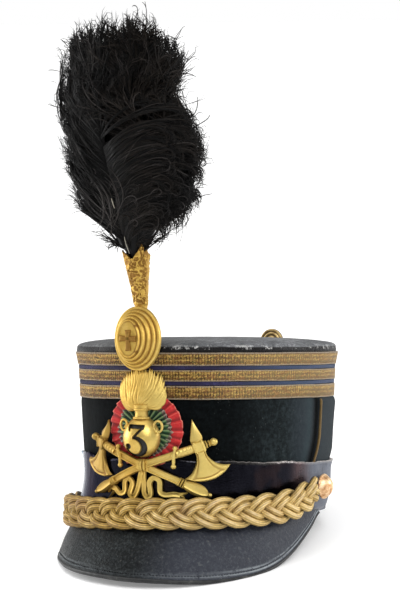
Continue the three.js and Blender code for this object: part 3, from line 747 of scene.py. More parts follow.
lace = Finish("gold_lace", specular_ior_level=0.32)
run, across = lace.chart()
rise = lace.mark("rise")
thread, weft, ribs = (run + across * 0.35).ripple(0.62), across.ripple(0.8), run.ripple(2.1)
tarnish = lace.noise(75, 5, 0.66)
speckle = lace.noise(700, 3, 0.7)
rows = lace.noise(100, 4, 0.6, 12)
weave = lace.noise(1050, 2, 0.6)
edge = (abs(rise - 0.5) * 2).above(0.8, 0.1)
worn_line = abs(rise - 0.18).below(0.03, 0.06)
mix = tarnish * 0.18 + weave * 0.58 + rows * 0.3 + speckle * 0.5 + rise.ripple(1 / 3) * 0.1 + ribs * 0.1
x = lace.split()[0]
tone = lace.coats(
    lace.ramp((mix + rise * 0.1 - 0.93) * 2.7 + 0.45, (0.26, (0.04, 0.018, 0.004)),
              (0.42, (0.15, 0.076, 0.011)), (0.58, (0.34, 0.2, 0.034)), (0.82, (0.68, 0.45, 0.12))),
    # painted light: the lace is paler on the side facing the key light
    (x.above(0.055, 0.05) * 0.35, (0.42, 0.31, 0.15)),
    (lace.noise(620, 2).above(0.56, 0.12) * 0.4, (0.2, 0.18, 0.05)),
    (lace.noise(200, 3, squash=6).above(0.54, 0.14) * 0.5, (0.27, 0.1, 0.035)),
    (worn_line * speckle.below(0.6, 0.2) * 0.4, (0.13, 0.06, 0.014)),
    # darker along the top edge of the upper lace, next to the cap
    (lace.mark("fringe") * weave.above(0.38, 0.2) * 0.85, (0.1, 0.055, 0.03)),
    (edge * weave.above(0.4, 0.2) * 0.75, (0.4, 0.33, 0.24)),
    (thread.below(0.28, 0.3) * 0.4, (0.05, 0.032, 0.018)))
lace.feed(base_color=tone, metallic=0.4 - edge * 0.35, roughness=0.5 + tarnish * 0.15,
          normal=lace.bump(thread * 0.7 + weft * 0.2 + speckle * 0.5, 0.00045, 0.9))
for number, (name, (low, high)) in enumerate(LACES.items()):
    make_piece("woven_" + name, [flat_ring(low, high, 1.3, number * 3)], lace, (name,))

# %% Blue stripes
stripe = Finish("blue_stripe", roughness=0.8, sheen_weight=0.08, sheen_roughness=0.5, specular_ior_level=0.3)
run, across = stripe.chart()
rib = (run + across).ripple(0.7)
fade = stripe.noise(40, 4, 0.6)
lint = stripe.noise(700, 3, 0.7)
tone = stripe.coats(
    stripe.ramp(fade * 0.6 + lint * 0.4, (0.36, (0.005, 0.003, 0.014)), (0.52, (0.012, 0.008, 0.046)),
                (0.7, (0.05, 0.045, 0.15))),
    # painted light: the stripe is lighter and bluer on the side facing the key light
    (stripe.split()[0].above(0.065, 0.04) * 0.6, (0.045, 0.085, 0.16)),
    (rib.below(0.3, 0.3) * 0.45, (0.01, 0.01, 0.03)))
stripe.feed(base_color=tone, normal=stripe.bump(rib * 0.7 + lint * 0.3, 0.0004, 0.8))
for number, (name, (low, high)) in enumerate(STRIPES.items()):
    make_piece("ribbed_" + name, [flat_ring(low, high, 0.9, 20 + number)], stripe, (name,))

# %% [markdown]
# ## Leather band
#
# The band goes round the foot of the cloth and climbs a little in front. It is old patent leather:
# its upper edge is torn and frayed in places, it flares away from the head at one side, and its
# shine is broken by rubbing. The frayed edge is a noise added to the height of the top rows.

# %% Band
BAND_HEIGHT = 34
steps, face_rows, lip_rows, back_rows = 600, 22, 5, 4
angles = round_head(steps)
side = np.degrees(angles)
foot = on_head(angles, BAND_HEIGHT, 0)
share = np.linspace(0, 1, face_rows)
around_lip = np.linspace(0, 1, lip_rows + 2)[1:-1]

left_tip = bell(side, -62, 3.2)
raised = plateau(side, -95, -76, -40, -26)
higher = 1.2 * plateau(side, 28, 42, 128, 150) + 1.2 * bell(side, 71, 8)
fray = 0.5 * drift(foot, 7, 31) + 0.35 * drift(foot, 1.9, 32) - 0.5 * np.clip(drift(foot, 16, 33), 0, 1)
top = BAND_HEIGHT + 6 * np.clip(np.cos(angles), 0, None)**2 + fray + 1.6 * left_tip + 5.6 * raised + higher
heights = top * share

bulge = 1.3 * bell(side, 115, 28)
outer = GAP + BAND_THICK + 0.25 * drift(foot, 26, 34) * np.sin(np.pi * share)
outer = outer + 5.8 * bell(side, -58, 30) * (1 - share)**2.6
outer += bulge * (np.sin(np.pi * share**0.7 * 0.9) + 1.3 * share**12 - 2.0 * (1 - share)**3)
outer += left_tip * ramp_step(share, 0.8, 1) * 1.4 - 2.0 * bell(side, -70, 15) * bell(share, 0.72, 0.3)
outer += 0.12 * drift(on_head(angles, heights, 0), 11, 35)
lip = outer[:, -1:] + (GAP + 0.5 - outer[:, -1:]) * around_lip
outs = np.concatenate([outer, lip, np.full((steps, back_rows), GAP + 0.2)], 1)
heights = np.concatenate([heights, top + 0.5 * np.sin(np.pi * around_lip),
                          top * np.linspace(1, 0, back_rows)], 1)

# a rubbed zone at one side: rougher and frayed at the foot, with a painted sheen in its colour
scuffed = plateau(side, 70, 94, 126, 142)
frayed = ramp_step(side, 12, 62) + 1 - ramp_step(side, -84, -74)
lip_torn = np.concatenate([0.3 * ramp_step(share, 0.98, 1), [0.9, 1, 0.7, 0.3, 0.1], np.zeros(back_rows)])
torn = lip_torn * frayed * (0.6 + 0.4 * ramp_step(side, 82, 100))
torn[:, :face_rows] += (1 - ramp_step(share, 0.02, 0.07)) * scuffed * 0.4
rust = np.zeros(outs.shape)
rust[:, :face_rows] = bell(side, 79, 4.5) * ramp_step(share, 0.2, 0.5)
# pale: where a bluish-white reflection is painted on the leather
band_skin = hoop(outs, heights, steps, {"torn": torn, "shaded": plateau(side, -58, -46, 68, 92),
                                        "pale": bell(side, -59, 8), "scuffed": scuffed, "rust": rust})

hide = Finish("rubbed_patent", specular_ior_level=0.36, specular_tint=(0.5, 0.5, 0.55))
streak = hide.noise(90, 4, 0.6, 0.35)
scratch = hide.noise(160, 3, 0.65, 6)
grain = hide.noise(900, 3, 0.6)
torn, scuffed = hide.mark("torn"), hide.mark("scuffed")
tone = hide.coats(
    hide.ramp(grain * 0.3 + streak * 0.7, (0.35, (0.003, 0.003, 0.005)), (0.75, (0.012, 0.012, 0.017))),
    (hide.noise(24, 3, 0.5).above(0.6, 0.08) * 0.15, (0.06, 0.03, 0.022)),
    # painted reflection: a bluish-white streaky patch
    (hide.mark("pale") * streak.above(0.36, 0.2) * 0.9, (0.32, 0.41, 0.5)),
    # painted sheen: pale bluish streaks over the rubbed zone
    (scuffed * streak.above(0.36, 0.3) * 0.8, (0.12, 0.135, 0.17)),
    (hide.mark("rust") * streak.above(0.4, 0.3) * 0.7, (0.1, 0.05, 0.045)),
    (torn * grain.above(0.4, 0.16) * 0.9, (0.6, 0.56, 0.52)))
hide.feed(base_color=tone, metallic=hide.mark("shaded") * (1 - torn) * (0.97 - streak * 0.12),
          roughness=0.1 + scratch.above(0.5, 0.3) * 0.12 + torn * 0.5 + scuffed * 0.4,
          normal=hide.bump(streak + scratch * 0.12 + grain * 0.03, 0.0009, 0.8))
make_piece("leather_hoop", [band_skin], hide, ("leather_band",))

# %% [markdown]
# ## Peak
#
# The peak is a cone of stiff leather that starts at the band and ends on an arc. A point is found by
# its angle and its share of the way out; the leather bulges by a sine between the two. A line of
# stitches runs beside the rolled edge. The left half has lost much of its polish.

# %% Surface of the peak
PEAK_START, PEAK_END = np.radians((-88, 93))
PEAK_ROOT = 2.0
PEAK_CROWN = 2.5
PEAK_COLUMNS = 300
ROLL_INSET = 2.4  # where the leather goes under the rolled edge
STITCH_INSET, STITCH_GAP = 5.6, 2.3
STITCH_THICK, STITCH_REACH = 0.42, np.radians(0.42)


def on_peak(angle, share, deep):
    """start + share (end - start) + n (bulge - deep), in the plane that cuts the hat at the angle."""
    angle, share, deep = np.broadcast_arrays(*(np.asarray(v, float) for v in (angle, share, deep)))
    start = np.array([BAND_THICK + 2 * GAP + PEAK_THICK, PEAK_ROOT])
    down = np.stack([peak_reach(angle), -peak_drop(angle)], -1) - start
    length = np.linalg.norm(down, axis=-1)
    normal = np.stack([-down[..., 1], down[..., 0]], -1) / length[..., None]
    bulge = PEAK_CROWN * np.sin(np.pi * share) * length / (PEAK_DROP + PEAK_ROOT)
    place = start + down * share[..., None] + normal * (bulge - deep)[..., None]
    point = on_head(angle, 0.0, place[..., 0])
    point[..., 2] = place[..., 1]
    return point


def share_at(angle, inset):
    """The share of the way out that lies `inset` millimetres from the edge."""
    return 1 - inset / np.hypot(peak_reach(angle), peak_drop(angle) + PEAK_ROOT)


angles = np.linspace(PEAK_START, PEAK_END, PEAK_COLUMNS)[:, None]
share = np.linspace(0, 1, 40) * share_at(angles, ROLL_INSET)
inset = (1 - share) * np.hypot(peak_reach(angles), peak_drop(angles) + PEAK_ROOT)
smooth = on_peak(angles, share, 0)
pits = 0.22 * drift(smooth, 15, 41) + 0.1 * drift(smooth, 4, 42)
upper = on_peak(angles, share, 0.32 * bell(inset, STITCH_INSET, 0.7) - pits)
under = on_peak(angles, share[:, ::-1][:, ::4], PEAK_THICK)
# the narrow ridges beside the stitches, where highlights are painted
stitch_sides = bell(inset, 4.5, 0.45) + 0.7 * bell(inset, 6.9, 0.45)
ridges = np.concatenate([stitch_sides, np.zeros(under.shape[:2])], 1)
shield = skin(np.concatenate([upper, under], 1), poles=(upper[0].mean(0), upper[-1].mean(0)),
              along=run_along(upper[:, 20]), marks={"ridge": ridges})
print("length of the peak in front, mm:", round(float(inset[PEAK_COLUMNS // 2, 0]), 1))

# %% Peak leather
edge_run = run_along(on_peak(angles[:, 0], share_at(angles[:, 0], STITCH_INSET), 0))
places = np.linspace(12, edge_run[-1] - 12, int(edge_run[-1] / STITCH_GAP))
turn = round_turn(6)
bead = np.linspace(-1, 1, 6)[:, None]
swell = np.sqrt(np.clip(1 - bead**2 * 0.98, 0, 1))
bead_angle = np.interp(places, edge_run, angles[:, 0])[:, None, None] + STITCH_REACH * bead
beads = on_peak(bead_angle, share_at(bead_angle, STITCH_INSET + STITCH_THICK * np.cos(turn) * swell),
                0.1 - 0.45 * np.sin(turn) * swell)

worn_hide = Finish("worn_leather", specular_ior_level=0.28)
grain = worn_hide.noise(520, 4, 0.65)
cloudy = worn_hide.noise(60, 5, 0.7)
chips = worn_hide.noise(430, 4, 0.7)
x = worn_hide.split()[0]
# the side facing the key light: painted light gives it a lighter, bluer tone and more pale flecks, and its
# leather is a little rougher
rubbed_and_lit = x.above(0.022, 0.04)
tone = worn_hide.coats(
    worn_hide.ramp(cloudy * 0.3 + grain * 0.7, (0.38, (0.002, 0.0025, 0.0027)),
                   (0.52, (0.0085, 0.0105, 0.011)), (0.68, (0.035, 0.041, 0.043))),
    (rubbed_and_lit * chips.above(0.56, 0.06) * 0.35, (0.08, 0.086, 0.085)),
    (rubbed_and_lit * 0.4, (0.043, 0.049, 0.075)),
    (chips.above(0.66, 0.05) * 0.4, (0.12, 0.12, 0.11)),
    # painted highlights along the ridges beside the stitches, strongest on the side facing the key light
    (worn_hide.mark("ridge") * (0.25 + rubbed_and_lit * 0.7) * chips.above(0.4, 0.1), (0.3, 0.33, 0.35)))
pores = worn_hide.cells(560).below(0.2, 0.2)
worn_hide.feed(base_color=tone, metallic=x.below(0.03, 0.08) * 0.75 + x.below(-0.04, 0.04) * 0.2,
               roughness=0.36 + cloudy * 0.2 + rubbed_and_lit * 0.08,
               normal=worn_hide.bump(grain * 0.5 + chips * 0.5 - pores * 0.2, 0.0009, 0.9))
make_piece("peak_shield", [shield, *(capped(grid) for grid in beads)], worn_hide, ("peak",),
           sharp=60)

# %% Rolled edge
ROLL = 1.6
turn = round_turn(22)
rim_path = on_peak(angles, 1.0, 0)
dents = 0.14 * drift(rim_path, 7, 44) + 0.08 * drift(rim_path, 2.5, 45)
roll = on_peak(angles, share_at(angles, ROLL - 1.5 * np.cos(turn)),
               (PEAK_THICK / 2 - ROLL * np.sin(turn)) * (1 + dents))
edge_hide = Finish("edge_leather", specular_ior_level=0.4)
wear = edge_hide.noise(150, 4, 0.65)
grain = edge_hide.noise(800, 3, 0.6)
tone = edge_hide.ramp(wear, (0.4, (0.006, 0.0065, 0.007)), (0.62, (0.02, 0.021, 0.021)),
                      (0.78, (0.1, 0.095, 0.085)))
edge_hide.feed(base_color=tone, roughness=0.35 + wear * 0.3,
               normal=edge_hide.bump(wear * 0.7 + grain * 0.3, 0.0006, 0.8))
make_piece("rolled_edge", [capped(roll, along=run_along(roll[:, 0]))], edge_hide,
           ("peak_binding",))

# %% [markdown]
# ## Plaited cord
#
# Three strands make a flat plait, and each strand is a pair of thick cords laid side by side. A
# strand swings across as sin t and over and under as sin 2t, with a third of a turn between
# strands. The two cords keep a fixed distance to each side of that route, measured square to it. A
# cord is spun from wire, so its section has small lobes, and the chart gives it a fine twist.

# %% Tubes
def tube(path, radius, sides, lobes=0, depth=0.0, marks=None, facing=None):
    """A closed tube: radius (1 + depth |cos(lobes t / 2)|) about a path, with its sides kept from
    twisting by a fixed up. Where it turns away from the side it faces, that is noted as a hollow,
    where a finish paints shade."""
    side = unit(np.cross(unit(np.gradient(path, axis=0)), [0.13, 0.21, 1.0]))
    over = np.cross(side, unit(np.gradient(path, axis=0)))
    turn = round_turn(sides)
    ridge = 1 + depth * (np.abs(np.cos(lobes * turn / 2)) - 0.6) if lobes else 1.0
    spokes = np.cos(turn)[:, None] * side[:, None] + np.sin(turn)[:, None] * over[:, None]
    rings = path[:, None] + (np.broadcast_to(radius, len(path))[:, None] * ridge)[..., None] * spokes
    if facing is not None:
        marks = {"hollow": np.clip(0.3 - (spokes * facing[:, None]).sum(-1), -0.7, 1)}
    return skin(rings, poles=(path[0], path[-1]), along=run_along(path), across=np.linspace(0, 1, sides + 1),
                marks=marks)


# %% Plaited cord
PLAIT_ANGLES = [-93, -82, -65, -40, 0, 40, 65, 78, 84.5]
PLAIT_HEIGHTS = [8.0, 1.4, 0.2, 1.6, 3.0, 3.9, 6.6, 12.1, 17.2]
PLAIT_OUTS = [8.6, 9.8, 12.9, 13.4, 13.2, 13.2, 12.4, 10.2, 8.2]
PLAIT_LEANS = [0, -4, -3, 11, 16, 16, 13, 6, 0]
PLAIT_SWAYS = [4.6, 5.8, 6.6, 6.5, 6.6, 6.7, 6.9, 6.7, 5.2]
PLAIT_PITCH = 46.5
PLAIT_RISE = 2.55
CORD, CORD_SIDES = 2.3, 18
plait_start, plait_end = np.radians(PLAIT_ANGLES[0]), np.radians(PLAIT_ANGLES[-1])
plait_run = GIRTH * (plait_end - plait_start) / (2 * np.pi)
plait_turns = plait_run / PLAIT_PITCH


def plait_table(angle, values):
    """A value along the plait, from its table."""
    return smooth_table(np.degrees(angle), PLAIT_ANGLES, values, 7.0)


def on_plait(angle, across, up):
    """The plait's own plane leans back by a few degrees, so that it lies on the slope of the peak."""
    lean = np.radians(plait_table(angle, PLAIT_LEANS))
    out = plait_table(angle, PLAIT_OUTS) + up * np.cos(lean) - across * np.sin(lean)
    point = on_head(angle, 0.0, out)
    point[..., 2] = plait_table(angle, PLAIT_HEIGHTS) + across * np.cos(lean) + up * np.sin(lean)
    return point


def plait_cord(strand, side):
    """One cord of a strand, `side` cord radii to a side of across = sway sin t, up = rise sin 2t."""
    share = np.linspace(0, 1, int(plait_turns * 40))
    angle = plait_start + (plait_end - plait_start) * share
    swing = 2 * np.pi * (plait_turns * share + strand / 3)
    sway = plait_table(angle, PLAIT_SWAYS)
    slope = np.arctan2(sway * np.cos(swing) * 2 * np.pi, PLAIT_PITCH)
    across = sway * np.sin(swing) + side * CORD * np.cos(slope)
    along = -side * CORD * np.sin(slope) - 1.1 * np.sin(2 * swing)
    up = PLAIT_RISE * np.sin(2 * swing)
    angle = angle + (plait_end - plait_start) * along / plait_run
    path = on_plait(angle, across, up)
    facing = on_plait(angle, across, up + 1) - path
    path = path + 0.12 * np.stack([drift(path, 9, strand * 2 + side + k) for k in (60, 70, 80)], -1)
    cord = tube(path, CORD * 1.03, CORD_SIDES, 9, 0.1, facing=facing)
    # painted shade: darker where a strand dips under the others
    low = np.concatenate([np.repeat(np.clip(0.3 - up / 4.5, 0, 0.8), CORD_SIDES), [1.0, 1.0]])
    cord.marks["hollow"] = np.clip(cord.marks["hollow"] + 0.5 * low, -0.7, 1)
    return cord


cord_gold = Finish("cord_gold", specular_ior_level=0.5, metallic=0.55)
run, around_cord = cord_gold.chart()
wire = (run * 1.1 + around_cord * 5.0).ripple(0.75)
# 1 in the grooves between the lobes of a cord
lobe_groove_shade = abs((around_cord * 9 * np.pi).sine())
cloud = cord_gold.noise(85, 4, 0.62)
dirt = cord_gold.noise(300, 4, 0.65)
hollow = cord_gold.mark("hollow")
x = cord_gold.split()[0]
tone = cord_gold.coats(
    cord_gold.ramp(cloud * 0.5 + dirt * 0.5, (0.36, (0.27, 0.157, 0.027)), (0.5, (0.6, 0.395, 0.08)),
                   (0.64, (0.93, 0.69, 0.27))),
    # painted light on the side facing the key light, and painted shade on the side away from it
    (x.above(0.02, 0.05) * 0.35, (0.9, 0.7, 0.34)),
    (x.below(-0.03, 0.05) * 0.45, (0.14, 0.07, 0.008)),
    (cord_gold.noise(55, 3).above(0.56, 0.12) * 0.28, (0.4, 0.22, 0.12)),
    # painted shade in the grooves between the lobes, lighter on the side facing the key light
    (lobe_groove_shade.above(0.68, 0.3) * (0.7 - x.above(0.03, 0.05) * 0.25), (0.11, 0.06, 0.022)),
    # painted shade where a cord turns away from the front and under crossing strands
    (hollow.above(0.36, 0.5) * 0.97, (0.022, 0.012, 0.005)),
    # painted highlights on the tops of the cords, on the side facing the key light
    (hollow.below(-0.6, 0.2) * x.above(0.0, 0.08) * 0.2, (0.98, 0.84, 0.64)),
    (cord_gold.mark("dim") * 0.75, (0.1, 0.055, 0.02)),
    (wire.below(0.3, 0.3) * 0.25, (0.14, 0.08, 0.04)))
cord_gold.feed(base_color=tone, roughness=0.38 + dirt * 0.25,
               normal=cord_gold.bump(wire * 0.6 + dirt * 0.4, 0.0003, 0.8))
for strand in range(3):
    make_piece(f"plait_strand_{strand + 1}", [plait_cord(strand, side) for side in (-1, 1)], cord_gold,
               (f"braid_strand_{strand + 1}",))

# %% [markdown]
# ## Side buttons and side cords
#
# The plait ends at a domed button on each side. The dome is turned from a profile, with a rolled
# rim, and a noise dents it, because its gilt is worn down to the copper. A twisted cord runs up the
# middle of each side, from the leather to the lace.


# %% Turned pieces
def turned(profile, sides, seat, marks=None):
    """A profile of (radius, height) turned round an axis, with both ends on the axis. The seat is
    its origin and the directions of its sideways, upward and outward axes."""
    origin, *axes = seat
    radii, heights = profile.T
    turn = round_turn(sides)
    grid = np.stack([radii[:, None] * np.cos(turn), radii[:, None] * np.sin(turn),
                     np.broadcast_to(heights[:, None], (len(radii), sides))], -1)
    ends = [origin + heights[end] * np.asarray(axes[2]) for end in (0, -1)]
    return skin(origin + grid @ np.array(axes), poles=ends, along=run_along(profile),
                across=np.linspace(0, 2 * np.pi, sides + 1), marks=marks)


def smooth_line(points, count):
    """A Catmull-Rom curve through points, as an array of `count` places."""
    points = np.asarray(points, float)
    padded = np.concatenate([[2 * points[0] - points[1]], points, [2 * points[-1] - points[-2]]])
    place = np.linspace(0, len(points) - 1, count)
    cell = np.minimum(place.astype(int), len(points) - 2)
    t = (place - cell)[:, None]
    a, b, c, d = (padded[cell + k] for k in range(4))
    return 0.5 * (2 * b + (c - a) * t + (2 * a - 5 * b + 4 * c - d) * t**2 + (3 * b - a - 3 * c + d) * t**3)


def head_seat(angle, height, out):
    """Origin and axes of something that faces away from the head."""
    foot = on_head(angle, height, out)
    outward = on_head(angle, height, out + 1) - foot
    sideways = np.cross([0, 0, 1.0], outward)
    return foot, sideways, np.cross(outward, sideways), outward


# %% Buttons
BUTTON_ANGLE, BUTTON_HEIGHT = np.radians(94.6), 17.9
BUTTON_OUT = BAND_THICK + 2 * GAP + 3.3
BUTTON_TURN = np.radians(86.0)  # a button faces a little further forward than its place
BUTTON_SPREAD = [1.3, 1.42]
BUTTON_PROFILE = [(0, -1.6), (2.2, -1.6), (2.3, -0.7), (5.6, -0.7), (6.7, 0.0), (6.75, 0.8), (6.1, 1.35),
                  (5.4, 2.3), (4.0, 3.6), (2.1, 4.4), (0.15, 4.6)]
SIDES = {"left": 1, "right": -1}

worn_gilt = Finish("worn_gilt", metallic=0.8)
wear = worn_gilt.noise(210, 4, 0.65)
scrape = worn_gilt.noise(520, 3, 0.6, 3)
tone = worn_gilt.ramp(wear, (0.36, (0.48, 0.24, 0.1)), (0.5, (0.76, 0.48, 0.26)), (0.62, (0.94, 0.76, 0.5)))
worn_gilt.feed(base_color=tone, roughness=0.4 + scrape * 0.22,
               normal=worn_gilt.bump(wear * 0.8 + scrape * 0.2, 0.0004, 0.8))
for word, side in SIDES.items():
    seat = (on_head(side * BUTTON_ANGLE, BUTTON_HEIGHT, BUTTON_OUT),
            *head_seat(side * BUTTON_TURN, BUTTON_HEIGHT, 0)[1:])
    button = turned(smooth_line(BUTTON_PROFILE, 60)[1:-1] * BUTTON_SPREAD, 48, seat)
    button.points += 0.16 * drift(button.points, 3.4, 91)[:, None] * seat[3]
    make_piece("domed_button_" + word, [button], worn_gilt, ("side_button_" + word,))

# %% Side cords
SIDE_CORD_FOOT, SIDE_CORD_LENGTH, SIDE_CORD_TURNS = 33.4, 46.4, 15
share = np.linspace(0, 1, 160)
heights = SIDE_CORD_FOOT + SIDE_CORD_LENGTH * share
for word, side in SIDES.items():
    angles = side * np.radians(SIDE_SEAM + SEAM_SHIFT * ramp_step(share, 0.0, 0.5))
    loose = GAP + 0.9 + side_swell(angles) * plateau(heights, *UNHELD)
    tangent = unit(on_head(angles + 0.001, heights, 1) - on_head(angles - 0.001, heights, 1))
    yarns = []
    for phase in (0, np.pi):
        turn = 2 * np.pi * share * SIDE_CORD_TURNS + phase
        path = on_head(angles, heights, loose + 0.42 * np.cos(turn)) + 0.38 * np.sin(turn)[:, None] * tangent
        yarns.append(tube(path, 0.62, 9, marks={"dim": 1.0}))
    make_piece("twisted_cord_" + word, yarns, cord_gold, ("side_cord_" + word,))

# %% [markdown]
# ## Ribbon cockade
#
# The cockade is three ribbons, each folded into knife pleats and gathered to a ring. Round the ring
# a pleat is a saw: it climbs slowly and drops fast. The edge of a fold catches the light, so each
# ribbon notes the phase of the saw for its finish. The white ribbon is frayed and shows as a ragged
# line between the green and the red.

# %% Pleated rings
COCKADE = (2.4, 60.6)


def pleated(inner, outer, pleats, lift, seat_out, seed, ragged=0.0, steps=9):
    """A ring of knife pleats: out = seat + lift * saw(pleats * turn), fading towards the gather."""
    columns = pleats * 10
    turn = round_turn(columns)
    circle = np.stack([np.cos(turn), np.sin(turn), 0 * turn], -1)
    phase = (pleats * turn / (2 * np.pi) + 0.22 * drift(circle, 0.5, seed)) % 1.0
    saw = np.where(phase < 0.8, phase / 0.8, (1 - phase) / 0.2)
    share = np.linspace(0, 1, steps)[:, None]
    ends = outer + 0.5 * (saw - 0.5) * lift + ragged * drift(circle * 20, 2.2, seed + 2)
    radius = inner + (ends - inner) * share
    height = seat_out + lift * saw * (0.35 + 0.65 * share) + 0.3 * np.sin(np.pi * share)
    radii = np.concatenate([radius, radius[::-1]])
    outs = np.concatenate([height, np.full_like(height, seat_out - 0.3)])
    fold = np.concatenate([0 * height + saw, 0 * height])
    grid = on_front(COCKADE[0] + radii * np.cos(turn), COCKADE[1] + radii * np.sin(turn), outs)
    return skin(grid, (True, True), marks={"fold": fold, "rim": np.concatenate([share, share[::-1]])})


def ribbon_finish(name, dark, plain, highlight_tone, edge_from, edge_share, rim_share):
    """Painted shade in the folds and on the side away from the key light, plain on the pleats,
    and painted highlights at their edges and round the rim.
    """
    finish = Finish(name, roughness=0.72, sheen_weight=0.08, sheen_roughness=0.4, specular_ior_level=0.3)
    fade = finish.noise(140, 4, 0.6)
    thread = finish.noise(1100, 2, 0.6)
    fold, rim = finish.mark("fold"), finish.mark("rim")
    tone = finish.coats(
        finish.ramp(fade * 0.7 + thread * 0.3, (0.36, dark), (0.6, plain)),
        # painted shade on the side away from the key light
        (finish.split()[0].below(-0.012, 0.024) * 0.3, [0.55 * number for number in dark]),
        # painted shade in the folds
        (fold.below(0.36, 0.5) * 0.65, [0.25 * number for number in dark]),
        # painted highlights at the edges of the pleats and round the rim; on the white ribbon this pale is
        # partly its own colour
        (fold.above(edge_from, 0.9 - edge_from * 0.85) * edge_share, highlight_tone),
        (rim.above(0.93, 0.08) * rim_share * finish.noise(420, 3).above(0.46, 0.1), highlight_tone))
    return finish.feed(base_color=tone, normal=finish.bump(thread * 0.6 + fade * 0.6, 0.0003, 0.7))


COCKADE_RINGS = {
    "red": ((18.8, 26.6, 25, 1.3, 2.4, 101),
            ((0.33, 0.008, 0.011), (0.56, 0.028, 0.027), (0.8, 0.26, 0.18), 0.92, 0.35, 0.6)),
    "white": ((14.2, 19.3, 38, 0.9, 2.6, 104, 1.5),
              ((0.04, 0.03, 0.025), (0.15, 0.1, 0.075), (0.46, 0.38, 0.29), 0.7, 0.5, 0.4)),
    "green": ((3.0, 17.4, 30, 1.5, 3.1, 107, 1.3),
              ((0.003, 0.02, 0.008), (0.014, 0.07, 0.024), (0.2, 0.28, 0.12), 0.68, 0.75, 0.2)),
}
for colour, (shape, tones) in COCKADE_RINGS.items():
    make_piece(colour + "_pleats", [pleated(*shape)], ribbon_finish(colour + "_ribbon", *tones),
               ("cockade_" + colour,), sharp=50)

# %% [markdown]
# ## Gilt
#
# The metal in front is cast and stamped brass with a matt gilding. It is a metal shader with a
# middling roughness. Dirt and shade gather in its hollows, so each surface notes how deep in a
# hollow a point lies, and the finish turns browner there. What is pierced is noted as well.

# %% Gilt finish
gilt = Finish("matt_gilt")
mottle = gilt.noise(120, 4, 0.6)
pitted = gilt.noise(700, 3, 0.6)
hollow, flame_mark, pierced = gilt.mark("hollow"), gilt.mark("flame"), gilt.mark("pierced")
hole = pierced.above(0.5, 0.2)
x, _, z = gilt.split()
low = z.below(0.15, 0.06)
lit = x.above(0.01, 0.02)
tone = gilt.coats(
    gilt.ramp(mottle * 0.7 + pitted * 0.3, (0.34, (0.46, 0.28, 0.052)), (0.52, (0.59, 0.385, 0.082)),
              (0.7, (0.69, 0.48, 0.14))),
    # painted light on the side facing the key light and painted shade on the side away from it, below the
    # boss
    (x.above(0.005, 0.03) * low * 0.5, (0.68, 0.575, 0.2)),
    (x.below(-0.02, 0.03) * low * 0.75, (0.3, 0.19, 0.046)),
    (flame_mark * 0.8, (0.42, 0.275, 0.062)),
    # dirt and painted shade in the hollows, less dark on the side facing the key light
    (hollow.above(0.5, 0.9) * (0.85 - lit * 0.25), (0.2, 0.09, 0.016)),
    # painted highlights on raised parts, stronger on the side facing the key light and weaker on the flame
    (hollow.below(-0.2, 0.4) * (0.5 + lit * 0.4 - flame_mark * 0.35), (0.84, 0.7, 0.4)),
    (hole, (0.006, 0.005, 0.004)))
gilt.feed(base_color=tone, metallic=0.8 - hole * 0.8,
          roughness=0.42 - gilt.mark("polished") * 0.11 + pitted * 0.14 + hollow * 0.1 + pierced * 0.2,
          normal=gilt.bump(mottle * 0.5 + pitted * 0.5, 0.00025, 0.7))

# %% [markdown]
# ## Grenade badge
#
# The badge is a stamped grenade over two crossed axes tied with a ribbon. Nearly all of it is made
# from one kind of patch, a slat: two edges drawn flat, and between them a section that rises and
# falls with a profile such as a dome, a ridge or a bar with raised borders. A slat is drawn in
# (x, y) with a height, and then wrapped round the front of the hat.

# %% Places on the badge
BADGE_ALONG = 2.4
CROSSING = 36.0
BACK = 0.6  # how far a slat reaches behind its own back line


def on_badge(points):
    """(x, y, height) wrapped onto the front. The badge stands off where the cockade is behind it
    and comes down to the leather past the cockade's edge."""
    along, height = points[..., 0] + BADGE_ALONG, points[..., 1]
    away = np.hypot(along - COCKADE[0], np.minimum(height - COCKADE[1], 0))
    seat = 5.2 - 2.0 * ramp_step(away, 28, 42) - 3.0 * ramp_step(height, 78, 99)
    return on_front(along, height, seat + points[..., 2])


def dome(s):
    """Half a circle."""
    return np.sqrt(np.clip(1 - s * s, 0, 1))


def furrowed(s):
    """A dome that falls away sooner, so that a furrow is left between two of them."""
    return dome(s)**1.3


def recessed(s):
    """A dome with a flat field sunk in it and a thread round the field."""
    return dome(s) * (1 - 0.22 * np.exp(-(s / 0.45)**4)) + 0.1 * bell(np.abs(s), 0.52, 0.1)


def ridge(s):
    """A roof with slightly round slopes."""
    return np.clip(1 - np.abs(s), 0, 1)**0.8


def bevelled(s):
    """Flat, with a slope along each edge."""
    return np.clip((1 - np.abs(s)) / 0.3, 0, 1)**0.7


def bordered(s):
    """A flat bar with a raised border along each edge."""
    return (0.62 + 0.42 * bell(np.abs(s), 0.7, 0.16)) * np.clip((1 - np.abs(s)) / 0.12, 0, 1)**0.5


def slat(left, right, rise, profile=dome, back=0.0, columns=13, hollow=0.6, seat=on_badge):
    """A closed body between two edges: its front is back + rise * profile(s), s from -1 to 1, and
    its back is flat. `back` and `rise` may change along it."""
    rise, back = (np.broadcast_to(v, len(left))[:, None] for v in (rise, back))
    s = np.sin(np.linspace(-np.pi / 2, np.pi / 2, columns))
    front = left[:, None] + (right - left)[:, None] * ((s + 1) / 2)[:, None]
    behind = front[:, ::-3]
    grid = np.concatenate([np.concatenate([front, behind], 1), np.concatenate(
        [back + rise * profile(s), np.repeat(back - BACK, behind.shape[1], 1)], 1)[..., None]], -1)
    deep = np.concatenate([hollow * (1 - profile(s)), np.ones(behind.shape[1])])
    return capped(seat(grid), marks={"hollow": deep})


